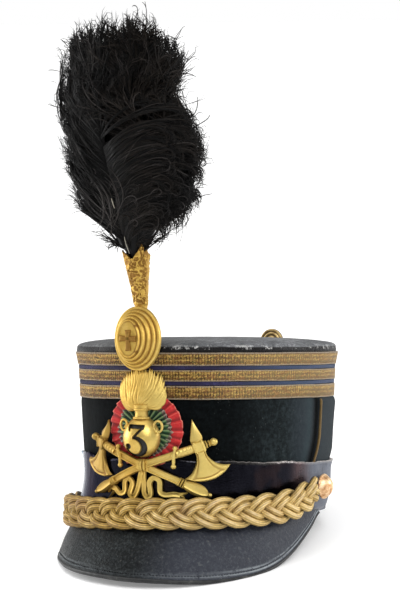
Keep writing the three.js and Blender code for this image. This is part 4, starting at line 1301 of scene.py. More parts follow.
def strap(route, half, rise, *more, seat=on_badge):
    """A slat of a given half width to each side of a route."""
    ahead = unit(np.gradient(np.asarray(route, float), axis=0))
    side = np.stack([-ahead[:, 1], ahead[:, 0]], -1) * np.broadcast_to(half, len(route))[:, None]
    return slat(route + side, route - side, rise, *more, seat=seat)


def blob(centre, size, rise, back=0.0, seat=on_badge, sides=20):
    """A round boss: half a ball on a short foot."""
    slant = np.linspace(0, np.pi / 2, 8)[1:-1]
    radii = np.concatenate([[0.02, 0.7, 1], np.cos(slant)])[:, None] * size
    rises = np.concatenate([[-0.6, -0.6, 0], np.sin(slant)])[:, None] * rise + back
    turn = round_turn(sides)
    grid = np.stack([centre[0] + radii * np.cos(turn), centre[1] + radii * np.sin(turn),
                     np.broadcast_to(rises, (len(radii), sides))], -1)
    ends = [seat(np.array([*centre, back + height])) for height in (-0.6 * rise, rise)]
    hollow = 0.7 * (1 - rises.clip(0) / rises.max())**2
    return skin(seat(grid), poles=ends, marks={"hollow": hollow})


def level_line(start, end, count=30):
    """A route along x."""
    return np.stack([np.linspace(start, end, count), np.zeros(count)], -1)


def cross_line(x, half, count=12):
    """A route square to the x axis."""
    return np.stack([np.full(count, x), np.linspace(-half, half, count)], -1)


print("a slat's dome, half-way out:", round(float(dome(0.5)), 3))


# %% Numeral
def box_distance(x, y, middle, half):
    """Distance to a box, less than 0 inside it."""
    over_x, over_y = np.abs(x - middle[0]) - half[0], np.abs(y - middle[1]) - half[1]
    return np.hypot(over_x.clip(0), over_y.clip(0)) + np.minimum(np.maximum(over_x, over_y), 0)


def stroke_distance(x, y, start, end, half):
    """Distance to a line between two points, less its half width."""
    run = np.subtract(end, start)
    share = np.clip(((x - start[0]) * run[0] + (y - start[1]) * run[1]) / (run @ run), 0, 1)
    return np.hypot(x - start[0] - share * run[0], y - start[1] - share * run[1]) - half


def numeral_distance(x, y):
    """Distance to a numeral 3 with a flat top: a bar, a thin diagonal, a bowl that swells to the
    right as the space between two circles, and a hook that ends in a ball."""
    bar = box_distance(x, y + 0.05 * x, (-0.7, 8.7), (4.5, 1.15))
    serif = stroke_distance(x, y, (-4.9, 8.6), (-4.6, 6.4), 0.45)
    diagonal = stroke_distance(x, y, (3.2, 8.0), (-1.5, 2.2), 0.62)
    bowl = np.maximum.reduce([np.hypot(x + 1.0, y + 3.7) - 6.3, 5.0 - np.hypot(x + 2.7, y + 3.9), -2.2 - x])
    angle = np.arctan2(y + 3.9, x + 1.3)
    hook = np.abs(np.hypot(x + 1.3, y + 3.9) - 5.7) - 0.75
    hook = np.maximum(hook, np.where((angle < -1.45) & (angle > -3.0), -9, 1))
    ball = np.hypot(x + 5.5, y + 3.6) - 1.6
    return np.minimum.reduce([bar, serif, diagonal, bowl, hook, ball])


# %% Bomb with its numeral
BOMB = (-0.1, 54.9)
BOMB_RADIUS, BOMB_RISE = 13.6, 11.0
NUMERAL_AT, NUMERAL_SIZE, NUMERAL_DEPTH = (0.3, -1.5), (1.27, 1.08), 2.4
BOMB_SEAT = head_seat(float(angle_at(BADGE_ALONG + BOMB[0])), BOMB[1], 5.2)
BADGE_MIDDLE = 0.2


def bomb_patch():
    """A ball drawn as rings: x = r sin q cos t, y = r sin q sin t, height = rise cos q. Where the
    numeral is, the skin drops. It has a stiff frame, so that it isn't stretched by the wrapping."""
    slant = np.linspace(0.012, np.pi / 2, 86)[:, None]
    turn = round_turn(180)
    x = BOMB_RADIUS * np.sin(slant) * np.cos(turn)
    y = BOMB_RADIUS * np.sin(slant) * np.sin(turn) * (1.04 + 0.07 * np.sin(turn))
    drawn = ((v - middle) / size for v, middle, size in zip((x, y), NUMERAL_AT, NUMERAL_SIZE))
    distance = numeral_distance(*drawn) - 0.14
    cut = ramp_step(-distance, -0.08, 0.14)
    rim = bell(distance, 0.12, 0.22) * (1 - cut)
    height = BACK + BOMB_RISE * np.cos(slant) - NUMERAL_DEPTH * cut + 0.12 * rim
    foot = np.stack([x[-1] * 0.9, y[-1] * 0.9, np.full_like(x[-1], -0.8)], -1)[None]
    grid = np.concatenate([np.stack([x, y, height], -1), foot])
    hollow = np.concatenate([0.55 * np.sin(slant)**10 + 0.5 * rim, np.ones((1, len(turn)))])
    cut = np.concatenate([cut, np.zeros((1, len(turn)))])
    origin, *axes = BOMB_SEAT
    return capped(origin + grid @ np.array(axes), marks={"hollow": hollow, "pierced": cut, "polished": 1.0})


def ring_ear(side, height, far):
    """An upright ring beside the neck, and the lug that holds it."""
    turn = round_turn(40)
    centre = np.array([BADGE_MIDDLE + side * far, height, 4.9])
    spoke = np.stack([2.4 * np.cos(turn), 3.8 * np.sin(turn), -0.35 * side * np.cos(turn)], -1)
    section = round_turn(10)[:, None]
    rings = (centre + spoke)[:, None] + 0.82 * (np.cos(section) * unit(spoke)[:, None]
                                                + np.sin(section) * np.array([0, 0, 1.3]))
    lug = np.array([(BADGE_MIDDLE + side * 8.2, height - 1.4), (BADGE_MIDDLE + side * 9.6, height - 0.7)])
    return [skin(on_badge(rings), (True, True)), strap(lug, 1.5, 2.0, dome, 4.4, 9)]


def bomb_dressing():
    """The neck, its two collars and the ring ears."""
    neck = smooth_line([(5.4, 67.4), (4.6, 69.0), (4.0, 71.4), (4.1, 73.2), (4.9, 75.6), (5.8, 77.4)], 30)
    left, right = (neck * [side, 1] + [BADGE_MIDDLE, 0] for side in (-1, 1))
    patches = [slat(left, right, 4.6, dome, 1.0, 15)]
    for height, half, rise in ((68.6, 5.4, 6.4), (74.3, 4.6, 6.2)):
        route = level_line(-half, half, 24) + [BADGE_MIDDLE, height]
        patches.append(strap(route, 0.85, 1.3, dome, rise * dome(np.linspace(-0.97, 0.97, 24)) - 0.4, 9))
    return [*patches, *ring_ear(1, 62.9, 11.4), *ring_ear(-1, 63.8, 10.6)]


# %% [markdown]
# ### Flame
#
# The flame is a bundle of tongues that leave the neck like the ribs of a fan and then turn upward.
# Each tongue is a slat with a ridge, on a curve from the neck to its tip, and there are four layers:
# the first makes the ragged outline, and the others lie over it and are shorter.

# %% Flame
FLAME_FOOT = np.array([0.2, 75.0])
FLAME_HEART = np.array([-0.5, 87.2])
FLAME_LAYERS = [(34, 1.0, 0.1, 1.5), (27, 0.88, 0.5, 1.5), (20, 0.72, 0.9, 1.5), (12, 0.5, 1.3, 1.4)]


def flame_size(fan):
    """The flame is smaller at its lower left, by a bell curve of the angle from upright."""
    return 1 - 0.2 * bell(fan, -1.95, 0.5)


def flame_bulge(points):
    """The flame is thicker at its heart: 2.4 (1 - d^2), where d is 1 at its outline."""
    across = np.linalg.norm((points - FLAME_HEART) / [18, 16], axis=-1)
    return 2.4 * np.clip(1 - across**2, 0, 1)


def tongue(fan, size, lift, half, wave, steps=20):
    """A curve with three control points: the neck, a point low and to the side, and the tip. The
    tip lies on an oval round the heart of the flame, at an angle from upright."""
    t = np.linspace(0, 1, steps)[:, None]
    reach = size * flame_size(fan) * np.array([17.0, 16.4 if abs(fan) < 1.6 else 14.2])
    tip = FLAME_HEART + reach * [np.sin(fan), np.cos(fan)]
    start = FLAME_FOOT + [np.sin(fan / 2) * 3.2, -0.6]
    middle = (start + tip) / 2 + [0.26 * (tip[0] - start[0]) + wave * 1.8, -0.24 * abs(tip[0] - start[0])]
    line = start * (1 - t)**2 + middle * 2 * t * (1 - t) + tip * t**2
    lean = unit(np.array([tip[1] - start[1], start[0] - tip[0]]))
    line = line + lean * (wave * np.sin(2 * np.pi * t) * (0.3 + 0.7 * t) * (1 - 0.3 * t))
    t = t[:, 0]
    width = half * (0.35 + 0.65 * np.sin(np.pi * (0.08 + 0.55 * t))) * (1 - t**9) + 0.05
    back = lift * (1 - 0.75 * t**2) + flame_bulge(line)
    return strap(line, width, 1.15 * (0.75 + 0.25 * t) * (1 - 0.5 * t**5), furrowed, back, 9, 1.05)


def flame_patches():
    """A bed for the flame, and the tongues on it, layer by layer."""
    turn = round_turn(60)
    rings = np.linspace(0.04, 1, 8)[:, None] * flame_size((turn + np.pi) % (2 * np.pi) - np.pi)
    flat = FLAME_HEART + np.stack([np.sin(turn) * 15.6 * rings, np.cos(turn) * 13.6 * rings - 0.6], -1)
    front = np.concatenate([flat, 0.4 + flame_bulge(flat)[..., None]], -1)
    behind = np.concatenate([flat, np.full((*rings.shape, 1), -0.4)], -1)[::-1]
    patches = [capped(on_badge(np.concatenate([front, behind])), marks={"hollow": 0.5})]
    for layer, (count, share, lift, half) in enumerate(FLAME_LAYERS):
        span = np.radians(122 - 4 * layer)
        fans = np.linspace(-span, span, count) + pick(-0.03, 0.03, count)
        sizes = share * pick(0.91, 1.06, count)
        waves = -1.7 + pick(-0.6, 0.6, count)
        for fan, size, wave, broad in zip(fans, sizes, waves, pick(0.9, 1.15, count)):
            patches.append(tongue(fan, size, lift, half * broad, wave))
    for patch in patches:
        patch.marks["flame"] = np.ones(len(patch.points))
    return patches


# %% [markdown]
# ### Axes
#
# An axe is drawn on its own shaft, with the crossing at 0 and the head along +x, and is then turned
# to its slope and mirrored for the other side. The blade is a web between two long curves, from
# the socket to the cutting edge, with a raised contour inside it.

# %% Axes
HEAD_SLOPE, FOOT_SLOPE = {1: 19.5, -1: 24.5}, -25.0
HEAD_STRETCH, FOOT_STRETCH = {1: 1.0, -1: 0.93}, {1: 0.95, -1: 1.0}
FOOT_WIDTH = {1: 0.92, -1: 1.08}
AXE_LIFT = {1: 1.2, -1: 0.2}
SPIKE_TIP = {1: (40.6, 19.0), -1: (38.6, 17.4)}
GUARD_ENDS = {1: (19.0, -7.0, 24.2, 3.9), -1: (15.6, -6.3, 22.4, 4.4)}


def axe_seat(slope, stretch, mirror, lift):
    """The badge's own places for a shaft at a slope, stretched along x and mirrored."""
    cosine, sine = np.cos(np.radians(slope)), np.sin(np.radians(slope))

    def seat(points):
        x, y = points[..., 0] * stretch, points[..., 1]
        return on_badge(np.stack([mirror * (x * cosine - y * sine), CROSSING + x * sine + y * cosine,
                                  points[..., 2] + lift], -1))
    return seat


def collars(places, width, hollow, back, seat):
    """Rings round the shaft: each arches across it from side to side."""
    arch = dome(np.linspace(-0.9, 0.9, 12))
    return [strap(cross_line(middle, half), width, rise * arch + 0.3, dome, back, 9, hollow, seat=seat)
            for middle, half, rise in places]


def blade_patch(seat):
    """Shares s and t of the way across and out: upper (1 - s) + lower s, drawn on to the cutting edge
    as t^1.6. A groove follows its outline, and the metal thins past the border."""
    steps, columns = 44, 29
    upper = smooth_line([(42.0, -3.6), (42.4, -7.8), (45.2, -13.0), (49.8, -16.6), (55.2, -18.6)], steps)
    lower = smooth_line([(35.2, -3.6), (34.0, -9.0), (30.2, -14.0), (26.6, -16.6), (22.8, -17.8)], steps)
    edge = smooth_line([(55.2, -18.6), (49.8, -22.2), (42.6, -24.2), (35.4, -23.8), (28.4, -21.6),
                        (22.8, -17.8)], 44)
    s = np.linspace(0, 1, columns)
    t = np.linspace(0, 1, steps)[:, None]
    web = upper[:, None] * (1 - s)[:, None] + lower[:, None] * s[:, None]
    sheet = web + (smooth_line(edge, columns) - web[-1:]) * t[..., None]**1.6
    rim = 2 * np.minimum(s, 1 - s)
    near_edge = np.clip((1 - t) / 0.3, 0, 1)
    border = np.clip(np.minimum(rim, near_edge) / 0.16, 0, 1)
    groove = bell(rim, 0.34, 0.09) * (near_edge > 0.3) + bell(near_edge, 0.55, 0.13) * (rim > 0.3)
    groove = np.clip(groove, 0, 1)
    rise = 0.3 + 1.9 * border**0.7 - 0.75 * groove + 0.5 * near_edge * rim
    front = np.concatenate([sheet, rise[..., None]], -1)
    behind = np.concatenate([sheet, np.full((*rise.shape, 1), -0.4)], -1)[:, -2:0:-1]
    deep = np.concatenate([0.8 * groove + 0.5 * (1 - border), np.ones(behind.shape[:2])], 1)
    return capped(seat(np.concatenate([front, behind], 1)), marks={"hollow": deep})


def axe_head(side):
    """Shaft, grip, guard, socket with its bars and collars, blade and spike, drawn towards +x."""
    seat = axe_seat(HEAD_SLOPE[side], HEAD_STRETCH[side], side, AXE_LIFT[side])
    low_x, low_y, high_x, high_y = GUARD_ENDS[side]
    tip_x, tip_y = SPIKE_TIP[side]
    line = np.linspace(0, 1, 30)
    guard = smooth_line([(low_x, low_y), (low_x + 1.4, low_y + 3.2), ((low_x + high_x) / 2, 0),
                         (high_x - 1.1, high_y - 1.8), (high_x, high_y)], 36)
    left = smooth_line([(36.4, 2.6), (34.9, 5.6), (tip_x - 3.2, 11.6), (tip_x, tip_y)], 30)
    right = smooth_line([(42.2, 2.6), (43.2, 6.2), (tip_x + 1.4, 12.4), (tip_x + 0.3, tip_y + 0.2)], 30)
    return [
        strap(level_line(1, 24), 2.7, 2.6, bordered, BACK, 15, 0.7, seat=seat),
        strap(level_line(24, 36.5), 3.1 - 0.5 * (2 * line - 1)**4, 3.1 + 0.22 * np.cos(line * 2 * np.pi * 5),
              dome, 0.5, 15, 0.7, seat=seat),
        strap(guard, 1.05 + 0.65 * bell(np.linspace(-1, 1, 36), 0, 0.25), 1.7, dome, 2.2, 11, seat=seat),
        blob((low_x, low_y - 0.3), 1.7, 2.2, 2.0, seat),
        blob((high_x + 0.1, high_y + 0.3), 1.6, 2.1, 2.0, seat),
        strap(level_line(35.0, 42.4, 14), 4.3, 3.9, bevelled, 0.4, seat=seat),
        *(strap(cross_line(middle, 4.0), 0.62, 0.9, dome, 3.8, 7, 0.7, seat=seat) for middle in (36.2, 41.2)),
        *collars([(43.7, 2.6, 3.6), (45.9, 2.1, 3.2)], 0.75, 0.6, 0.6, seat),
        blob((48.9, 0.0), 2.7, 3.4, 1.4, seat),
        blade_patch(seat),
        slat(left, right, np.linspace(2.4, 1.0, 30), ridge, 0.4, 13, 0.5, seat=seat),
    ]


def axe_foot(side):
    """The other end of the same shaft, drawn towards -x: three rings and a bulb."""
    seat = axe_seat(FOOT_SLOPE, FOOT_STRETCH[side], -side, AXE_LIFT[side])
    bulb = smooth_line([(30.2, 2.7), (33.5, 3.5), (38.0, 4.1), (42.4, 3.8), (45.4, 2.5), (46.8, 1.3)], 40)
    return [
        strap(level_line(1, 26), 2.65, 2.6, bordered, BACK, 15, 0.7, seat=seat),
        *collars([(middle, 3.0, 3.4) for middle in (26.2, 27.9, 29.6)], 0.75, 0.7, 0.4, seat),
        strap(bulb * [1, 0], bulb[:, 1] * FOOT_WIDTH[side], 3.2, recessed, 0.5, 17, 0.8, seat=seat),
        blob((48.3, 0.0), 1.7, 2.4, 1.0, seat),
    ]


# %% [markdown]
# ### Ribbon
#
# The crossing is bound with a few turns of ribbon. Below it two straps come down and fold back and
# forth on each side, and end in a fork. Their routes are smooth curves through listed points.

# %% Ribbon
RIBBON_RIGHT = [(0.6, 31.0), (0.1, 22.0), (-0.2, 16.4), (1.7, 13.2), (4.4, 15.4), (3.9, 23.0), (6.9, 26.6),
                (10.6, 24.4), (10.9, 17.4), (14.2, 15.0), (20.0, 15.4), (24.2, 14.8)]
RIBBON_LEFT = [(-0.6, 31.0), (-3.4, 22.6), (-6.4, 15.6), (-8.6, 13.4), (-10.6, 15.6), (-8.4, 22.6),
               (-11.2, 26.2), (-14.6, 23.6), (-15.2, 16.8), (-19.0, 15.6), (-23.0, 18.8), (-26.4, 19.6)]
FORKS = [[(23.6, 14.8), (26.4, 15.6), (29.4, 16.4)], [(23.6, 14.8), (25.8, 13.6), (27.2, 11.8)],
         [(-25.8, 19.4), (-28.6, 18.0), (-30.4, 15.6)], [(-23.4, 18.6), (-26.6, 15.4), (-30.0, 11.8)]]
RIBBON_RISE = [0, 0.9]


def ribbon_patches():
    """The two folded straps, their forks, and the turns round the crossing."""
    back = 1.0 + 0.4 * np.cos(np.linspace(0, 5 * np.pi, 110))
    patches = [strap(smooth_line(route, 110) + RIBBON_RISE, 1.85, 1.7, bordered, back, 11)
               for route in (RIBBON_RIGHT, RIBBON_LEFT)]
    taper = np.linspace(1.8, 0.4, 20)
    forks = (smooth_line(route, 20) + RIBBON_RISE for route in FORKS)
    patches += [strap(fork, taper, 1.4, ridge, 0.7, 9, 0.5) for fork in forks]
    bow = np.sin(np.linspace(0.12, np.pi - 0.12, 20))**0.35
    for offset in np.linspace(-2.9, 2.9, 5):
        sway = offset + 0.3 + 0.25 * np.sin(np.linspace(0, np.pi, 20)) * np.sign(offset)
        path = np.stack([sway, np.linspace(31.6, 40.6, 20)], -1)
        patches.append(strap(path, 0.86, (6.6 - 0.35 * offset**2) * bow, bevelled, 0.2, 9, 0.85))
    return patches


badge_patches = [bomb_patch(), *bomb_dressing(), *flame_patches()]
for side in (1, -1):
    badge_patches += [*axe_head(side), *axe_foot(side)]
make_piece("grenade_badge", [*badge_patches, *ribbon_patches()], gilt, ("badge",), sharp=48)

# %% [markdown]
# ## Boss, cup and rear boss
#
# The oval boss is a stack of rolled steps round a flat field with a plain cross. It is a section
# carried round an oval. The cup is a flared socket with leaves stamped into it; its rim is cut into
# leaf tips. The rear boss is a small disc with rings.

# %% Front boss
BOSS_MIDDLE = np.array([0.8, -109.9, 123.0])
BOSS_WIDE, BOSS_TALL = 17.3, 22.1
FIELD_DEPTH, FIELD_INSET = 16.6, 10.6
BOSS_SECTION = [
    (1.6, 0.0), (0.2, 0.0), (0.0, 0.6), (0.0, 2.0), (0.35, 3.1), (1.0, 3.5), (1.7, 3.5), (2.2, 3.5),
    (2.4, 4.4), (2.6, 5.6), (3.1, 6.4), (3.8, 6.5), (4.4, 6.4), (4.7, 7.3), (4.8, 9.4), (5.2, 10.4),
    (5.9, 10.7), (6.5, 10.5), (6.8, 11.3), (6.9, 13.6), (7.3, 14.5), (8.0, 14.8), (8.6, 14.6), (8.9, 15.6),
    (9.2, 17.0), (9.6, 17.3), (10.0, 16.9), (10.3, FIELD_DEPTH), (FIELD_INSET, FIELD_DEPTH)]
BOSS_CREASES = [(2.25, 3.6), (4.55, 6.6), (6.7, 10.8), (8.8, 14.9), (10.3, 16.6)]
BOSS_WALLS = [2.5, 4.8, 6.85, 9.0]
BOSS_NICKS = [(5.6, 8.6), (5.9, -9.0)]
CROSS_BARS = [((0.3, -8.4), (-0.2, 6.0), 1.75), ((6.2, -0.2), (-6.6, 0.2), 1.7)]


def boss_shell():
    """The section is a line of (inset from the edge, depth). Every ring is inset by the same amount
    all round, and inside the field the oval shrinks to a point."""
    section = smooth_line(BOSS_SECTION, 120)
    inset, depth = np.concatenate([section, np.tile([FIELD_INSET, FIELD_DEPTH], (14, 1))]).T[..., None]
    shrink = np.concatenate([np.ones(120), np.linspace(0.96, 0.03, 14)])[:, None]
    turn = round_turn(120)
    x = (BOSS_WIDE - inset) * shrink * np.cos(turn)
    z = (BOSS_TALL - inset) * shrink * np.sin(turn)
    nicks = sum(bell(np.hypot(x - u, z - v), 0, 0.9) for u, v in BOSS_NICKS)
    depth = depth - 0.6 * nicks
    grid = BOSS_MIDDLE + np.stack([x, -depth, z], -1)
    grid[..., 1] += 0.12 * drift(grid, 7, 120)
    creases = sum(0.85 * bell(np.hypot((inset - a) * 1.2, depth - d), 0, 0.7) for a, d in BOSS_CREASES)
    walls = sum(0.15 * bell(inset, a, 0.3) for a in BOSS_WALLS)
    # dirt and painted shade in the creases between the steps and in the nicks; the shade is stronger on the
    # side towards the key light
    hollow = (creases * (0.75 + 0.35 * np.cos(turn)) + walls) * bell(shrink, 1, 0.06)
    return skin(grid, poles=(BOSS_MIDDLE, BOSS_MIDDLE - [0, FIELD_DEPTH, 0]),
                marks={"hollow": np.clip(hollow + nicks, 0, 1)})


def on_field(points):
    """(x, z, height) on the boss's flat field."""
    return BOSS_MIDDLE + np.stack([points[..., 0], 0.1 - FIELD_DEPTH - points[..., 2], points[..., 1]], -1)


def cross_bar(start, end, half):
    """A bar that widens towards its ends as the square of the reach."""
    reach = np.linspace(-1, 1, 22)
    route = np.array(start) + np.subtract(end, start) * ((reach + 1) / 2)[:, None]
    lift = 1.3 * np.clip((1 - np.abs(reach)) / 0.12, 0.25, 1)
    bar = strap(route, half * (1 + 0.35 * reach**2), lift, bevelled, 0.1, 11, 0.2, seat=on_field)
    bar.marks["hollow"] = np.clip(bar.marks["hollow"] + 0.85 + 0.3 * drift(bar.points, 1.6, 121), 0, 1)
    return bar


make_piece("stepped_boss", [boss_shell(), *(cross_bar(*bar) for bar in CROSS_BARS)], gilt,
           ("front_boss",), sharp=60)

# %% Plume cup
CUP_BOTTOM, CUP_BACK, CUP_LEAN = 143.8, -105.6, np.radians(6)
CUP_TILT = -0.05  # how far the cup stands over to the wearer's right for each unit of height
CUP_WALL = 0.95
CUP_OUTLINE = [(4.3, 0), (4.9, 5), (5.6, 12), (6.6, 20), (7.9, 28), (9.1, 37), (10.2, 46.5)]
CUP_TIPS = [(-180, 36), (-155, 39.4), (-135, 37.5), (-112, 35.6), (-98, 33.4), (-84, 32.6), (-72, 35.2),
            (-55, 38.6), (-38, 43.6), (-28, 38.6), (-10, 39.6), (8, 36.4), (25, 37.6), (60, 33), (92, 41),
            (125, 34), (155, 38.5), (180, 36)]
STEM = [(0, -1, 1), (0, -1.2, -4), (0, -4.4, -12), (0, -7.4, -20)]


def cup_relief(chart, turn, share):
    """A net of scrolls: ridges where a smooth noise of the warped chart crosses zero, with leaf
    veins between. It fades at the foot and on one plain side. Also how deep its hollows are; on
    the ridges this falls below 0, where the finish paints highlights."""
    scroll = chart + 1.5 * np.stack([drift(chart, 3.0, 132), drift(chart, 3.0, 133), 0 * chart[..., 0]], -1)
    leaves = 1 - np.clip(np.abs(drift(scroll, 1.5, 134)) * 2.5, 0, 1)
    veins = 1 - np.clip(np.abs(drift(scroll * [1.4, 0.9, 1], 1.0, 135)) * 2.2, 0, 1)
    plain_side = np.exp(-((turn + np.radians(20)) % (2 * np.pi) / 0.55)**4)
    stamped = ramp_step(share, 0.03, 0.08) * (1 - 0.85 * plain_side)
    relief = stamped * (0.85 * leaves**0.8 + 0.45 * veins * (1 - leaves) - 0.35)
    deep = np.clip(0.75 - 1.9 * relief, -0.8, 1) * stamped + 0.3 + 0.2 * drift(chart, 3.4, 137)
    return relief, deep


def in_cup(turn, radius, height):
    """A place round the cup's own axis, which leans forward and to one side."""
    front = -radius * np.sin(turn)
    return np.stack([0.6 + radius * np.cos(turn) + CUP_TILT * height,
                     CUP_BACK + front * np.cos(CUP_LEAN) - height * np.sin(CUP_LEAN),
                     CUP_BOTTOM + height * np.cos(CUP_LEAN) - front * np.sin(CUP_LEAN)], -1)


def cup_shell(columns=190, rows=96):
    """A flared tube whose rim follows a line of leaf tips."""
    turn = round_turn(columns)
    outline = smooth_line(CUP_OUTLINE, rows)
    degrees, heights = np.transpose(CUP_TIPS)
    rim = np.interp((np.pi - turn) % (2 * np.pi) - np.pi, np.radians(degrees), heights)
    spread = turn[:, None] * [9.0, 0, 0]
    rim = rim + 0.7 * drift(spread, 0.8, 131) + 0.35 * drift(spread, 0.3, 136)
    share = np.linspace(0, 1, rows)[:, None]
    height = share * rim
    radius = np.interp(height, outline[:, 1], outline[:, 0])
    relief, deep = cup_relief(np.stack([turn * 6.6 + 0 * share, height, 0 * height], -1), turn, share)
    inner = in_cup(turn, radius - CUP_WALL, height)[::-3][:20]
    grid = np.concatenate([in_cup(turn, radius + relief + 0.35 * bell(share, 0.985, 0.02), height), inner])
    return skin(grid, poles=(in_cup(turn, 0 * turn, 0 * turn).mean(0), grid[-1].mean(0)),
                marks={"hollow": np.concatenate([deep, np.ones(inner.shape[:2])])})


stem = tube(smooth_line(STEM, 40) + [0, CUP_BACK, CUP_BOTTOM], 2.3, 16)
make_piece("leaf_cup", [cup_shell(), stem], gilt, ("plume_cup",), sharp=60)

# %% Rear boss
REAR_RINGS = [(8.3, 0.2), (8.0, 1.1), (7.3, 1.35), (6.7, 0.9), (6.3, 0.75), (5.8, 1.2), (5.3, 1.5),
              (4.8, 1.1), (4.4, 0.7), (3.6, 0.8), (2.4, 1.5), (1.0, 1.9), (0.02, 2.0)]
REAR_OUT = 2 * GAP + 1.3 + 2.1
rear_y = on_head(np.pi, BODY_HEIGHT, REAR_OUT)[1]
profile = smooth_line([(radius, -height) for radius, height in REAR_RINGS[:0:-1]] + REAR_RINGS, 120)
hollow = np.clip(0.95 - np.abs(profile[:, 1]) / 1.5, 0, 1)[:, None]
rear = turned(profile * [1.12, 1], 60, (np.array([3.2, rear_y, 120.0]), [1, 0, 0], [0, 0, 1], [0, 1, 0]),
              {"hollow": hollow})
dull_gilt = Finish("dull_gilt", metallic=0.75)
mottle = dull_gilt.noise(240, 4, 0.65)
tone = dull_gilt.coats(
    dull_gilt.ramp(mottle, (0.36, (0.3, 0.2, 0.08)), (0.6, (0.62, 0.46, 0.2))),
    # dirt and painted shade in the low grooves between the rings
    (dull_gilt.mark("hollow").above(0.35, 0.3) * 0.85, (0.07, 0.045, 0.025)))
dull_gilt.feed(base_color=tone, roughness=0.42 + mottle * 0.2, normal=dull_gilt.bump(mottle, 0.0003, 0.7))
make_piece("ringed_boss", [rear], dull_gilt, ("rear_boss",), sharp=60)

# %% [markdown]
# ## Plume
#
# The plume is a bunch of black ostrich feathers. A feather has a stiff quill and thousands of soft
# barbs, and here every barb is a thin three-sided strand of its own. The bunch fills an outer form,
# an oval by height. A barb's path is drawn in the form's own coordinates: the angle round it, the
# share of the way out, and the height. So the barbs hug the form, and their tips make its edge.
# Barbs cling together in locks, so a lock is drawn first and its strands follow it closely.

# %% Outer form of the plume
FORM_HEIGHTS = [174.5, 182, 192, 201, 210, 221, 235, 249, 262, 276, 290, 303, 317, 331, 344]
FORM_LEFT = [0, -1, -2.9, -3, 0, 2.1, 1.2, 2.1, 0.6, -3, -10.6, -6.3, -5.2, -9.7, -6]
FORM_FRONT = [109, 109.6, 110.4, 111, 112, 113, 113.5, 114, 114, 115, 115, 116, 116, 117, 118]
FORM_WIDE = [6.5, 10, 18.5, 27, 38, 43.5, 46, 49.5, 49, 47, 41, 42, 42.5, 36, 18]
FORM_DEEP = [6, 9, 15, 21, 28, 32, 34, 36, 36, 35, 33, 32, 31, 27, 14]
FORM_STRAIGHT = 320
PLUME_HEART = np.array([0.0, -113.0, 250.0])
TOP_TURNS = np.radians([-180, -150, -110, -75, -40, -15, 8, 40, 90, 140, 180])
TOP_LEVELS = [329, 331, 338, 341, 339, 329, 318, 316, 333, 336, 329]


def ceiling(turn):
    """How high tips reach at a turn; the fringe is lower on the wearer's left."""
    return np.interp((turn + np.pi) % (2 * np.pi) - np.pi, TOP_TURNS, TOP_LEVELS)


def in_plume(turn, share, height):
    """centre(height) + share * (wide cos t, deep sin t), with t = 0 at the wearer's left. Near the
    top the oval is kept as it is, so that tips stand straight up out of it."""
    left, front, wide, deep = (np.interp(np.minimum(height, FORM_STRAIGHT), FORM_HEIGHTS, column)
                               for column in (FORM_LEFT, FORM_FRONT, FORM_WIDE, FORM_DEEP))
    return np.stack([left + share * wide * np.cos(turn), -front + share * deep * np.sin(turn), height], -1)


def blending(controls, steps):
    """Bernstein weights: row t holds the share of each control value at t, so a curve is drawn
    smoothly from its first control to its last and leans towards those between. The steps are
    shorter towards the tip, where a barb curls."""
    t = 1 - (1 - np.linspace(0, 1, steps)[:, None])**1.35
    order = controls - 1
    k = np.arange(controls)
    return np.array([comb(order, number) for number in range(controls)]) * t**k * (1 - t)**(order - k)


print("weights half-way between four controls:", blending(4, 3)[1].round(3))


# %% Barbs
def barbs(turns, shares, heights, sag=0.0, curl=0.0, flip=0.35, strands=5, steps=9, loose=1.0, curl_from=0.55,
          facing=None):
    """Paths of all the strands of many locks, as an array (strand, step, 3). Turns, shares and
    heights are control values, a row for each lock. `sag` lowers the tip after the form is applied,
    and past `curl_from` the strand bends through `curl` radians, mostly within the surface, or
    within the plane of a flat feather that faces a given way."""
    columns = (np.repeat(column, strands, 0) for column in np.broadcast_arrays(turns, shares, heights))
    turns, shares, heights = columns
    count, controls = turns.shape
    reach = np.linspace(0.15, 1, controls) * loose
    turns, shares, heights = (column + scatter(0, spread, (count, controls)) * reach
                              for column, spread in ((turns, 0.038), (shares, 0.03), (heights, 2.0)))
    weights = blending(controls, steps)
    paths = in_plume(turns @ weights.T, shares @ weights.T, heights @ weights.T)
    t = np.linspace(0, 1, steps)
    sag, curl = (np.repeat(np.broadcast_to(v, count // strands), strands)[:, None] for v in (sag, curl))
    paths[..., 2] -= sag * t**2.6 * (1 + scatter(0, 0.25, (count, 1)))
    step = np.diff(paths, axis=1)
    outward = unit((paths[:, 1:] - PLUME_HEART) * [1, 1, 0] if facing is None else 0 * step + facing)
    tilt = scatter(0, flip, (count, 1, 1))
    axis = unit(outward * np.cos(tilt) + np.cross(unit(step), outward) * np.sin(tilt))
    late = np.clip((t[1:] - curl_from) / (1 - curl_from), 0, 1)
    bend = ((curl + scatter(0, 0.35, (count, 1)) * np.sign(curl)) * late**1.4)[..., None]
    step = (step * np.cos(bend) + np.cross(axis, step) * np.sin(bend)
            + axis * (axis * step).sum(-1, keepdims=True) * (1 - np.cos(bend)))
    return np.concatenate([paths[:, :1], paths[:, :1] + np.cumsum(step, axis=1)], 1)


def strand_faces(steps):
    """Faces of one strand: rings of three corners, numbered in order, and then its tip."""
    row, corner = (n.ravel() for n in np.indices((steps - 2, 3)))
    after = (corner + 1) % 3
    quads = np.stack([row * 3 + corner, row * 3 + after, row * 3 + 3 + after, row * 3 + 3 + corner], -1)
    last, tip = (steps - 2) * 3, (steps - 1) * 3
    sides = [[last + k, last + (k + 1) % 3, tip, -1] for k in range(3)]
    return np.concatenate([quads, sides, [[2, 1, 0, -1]]])


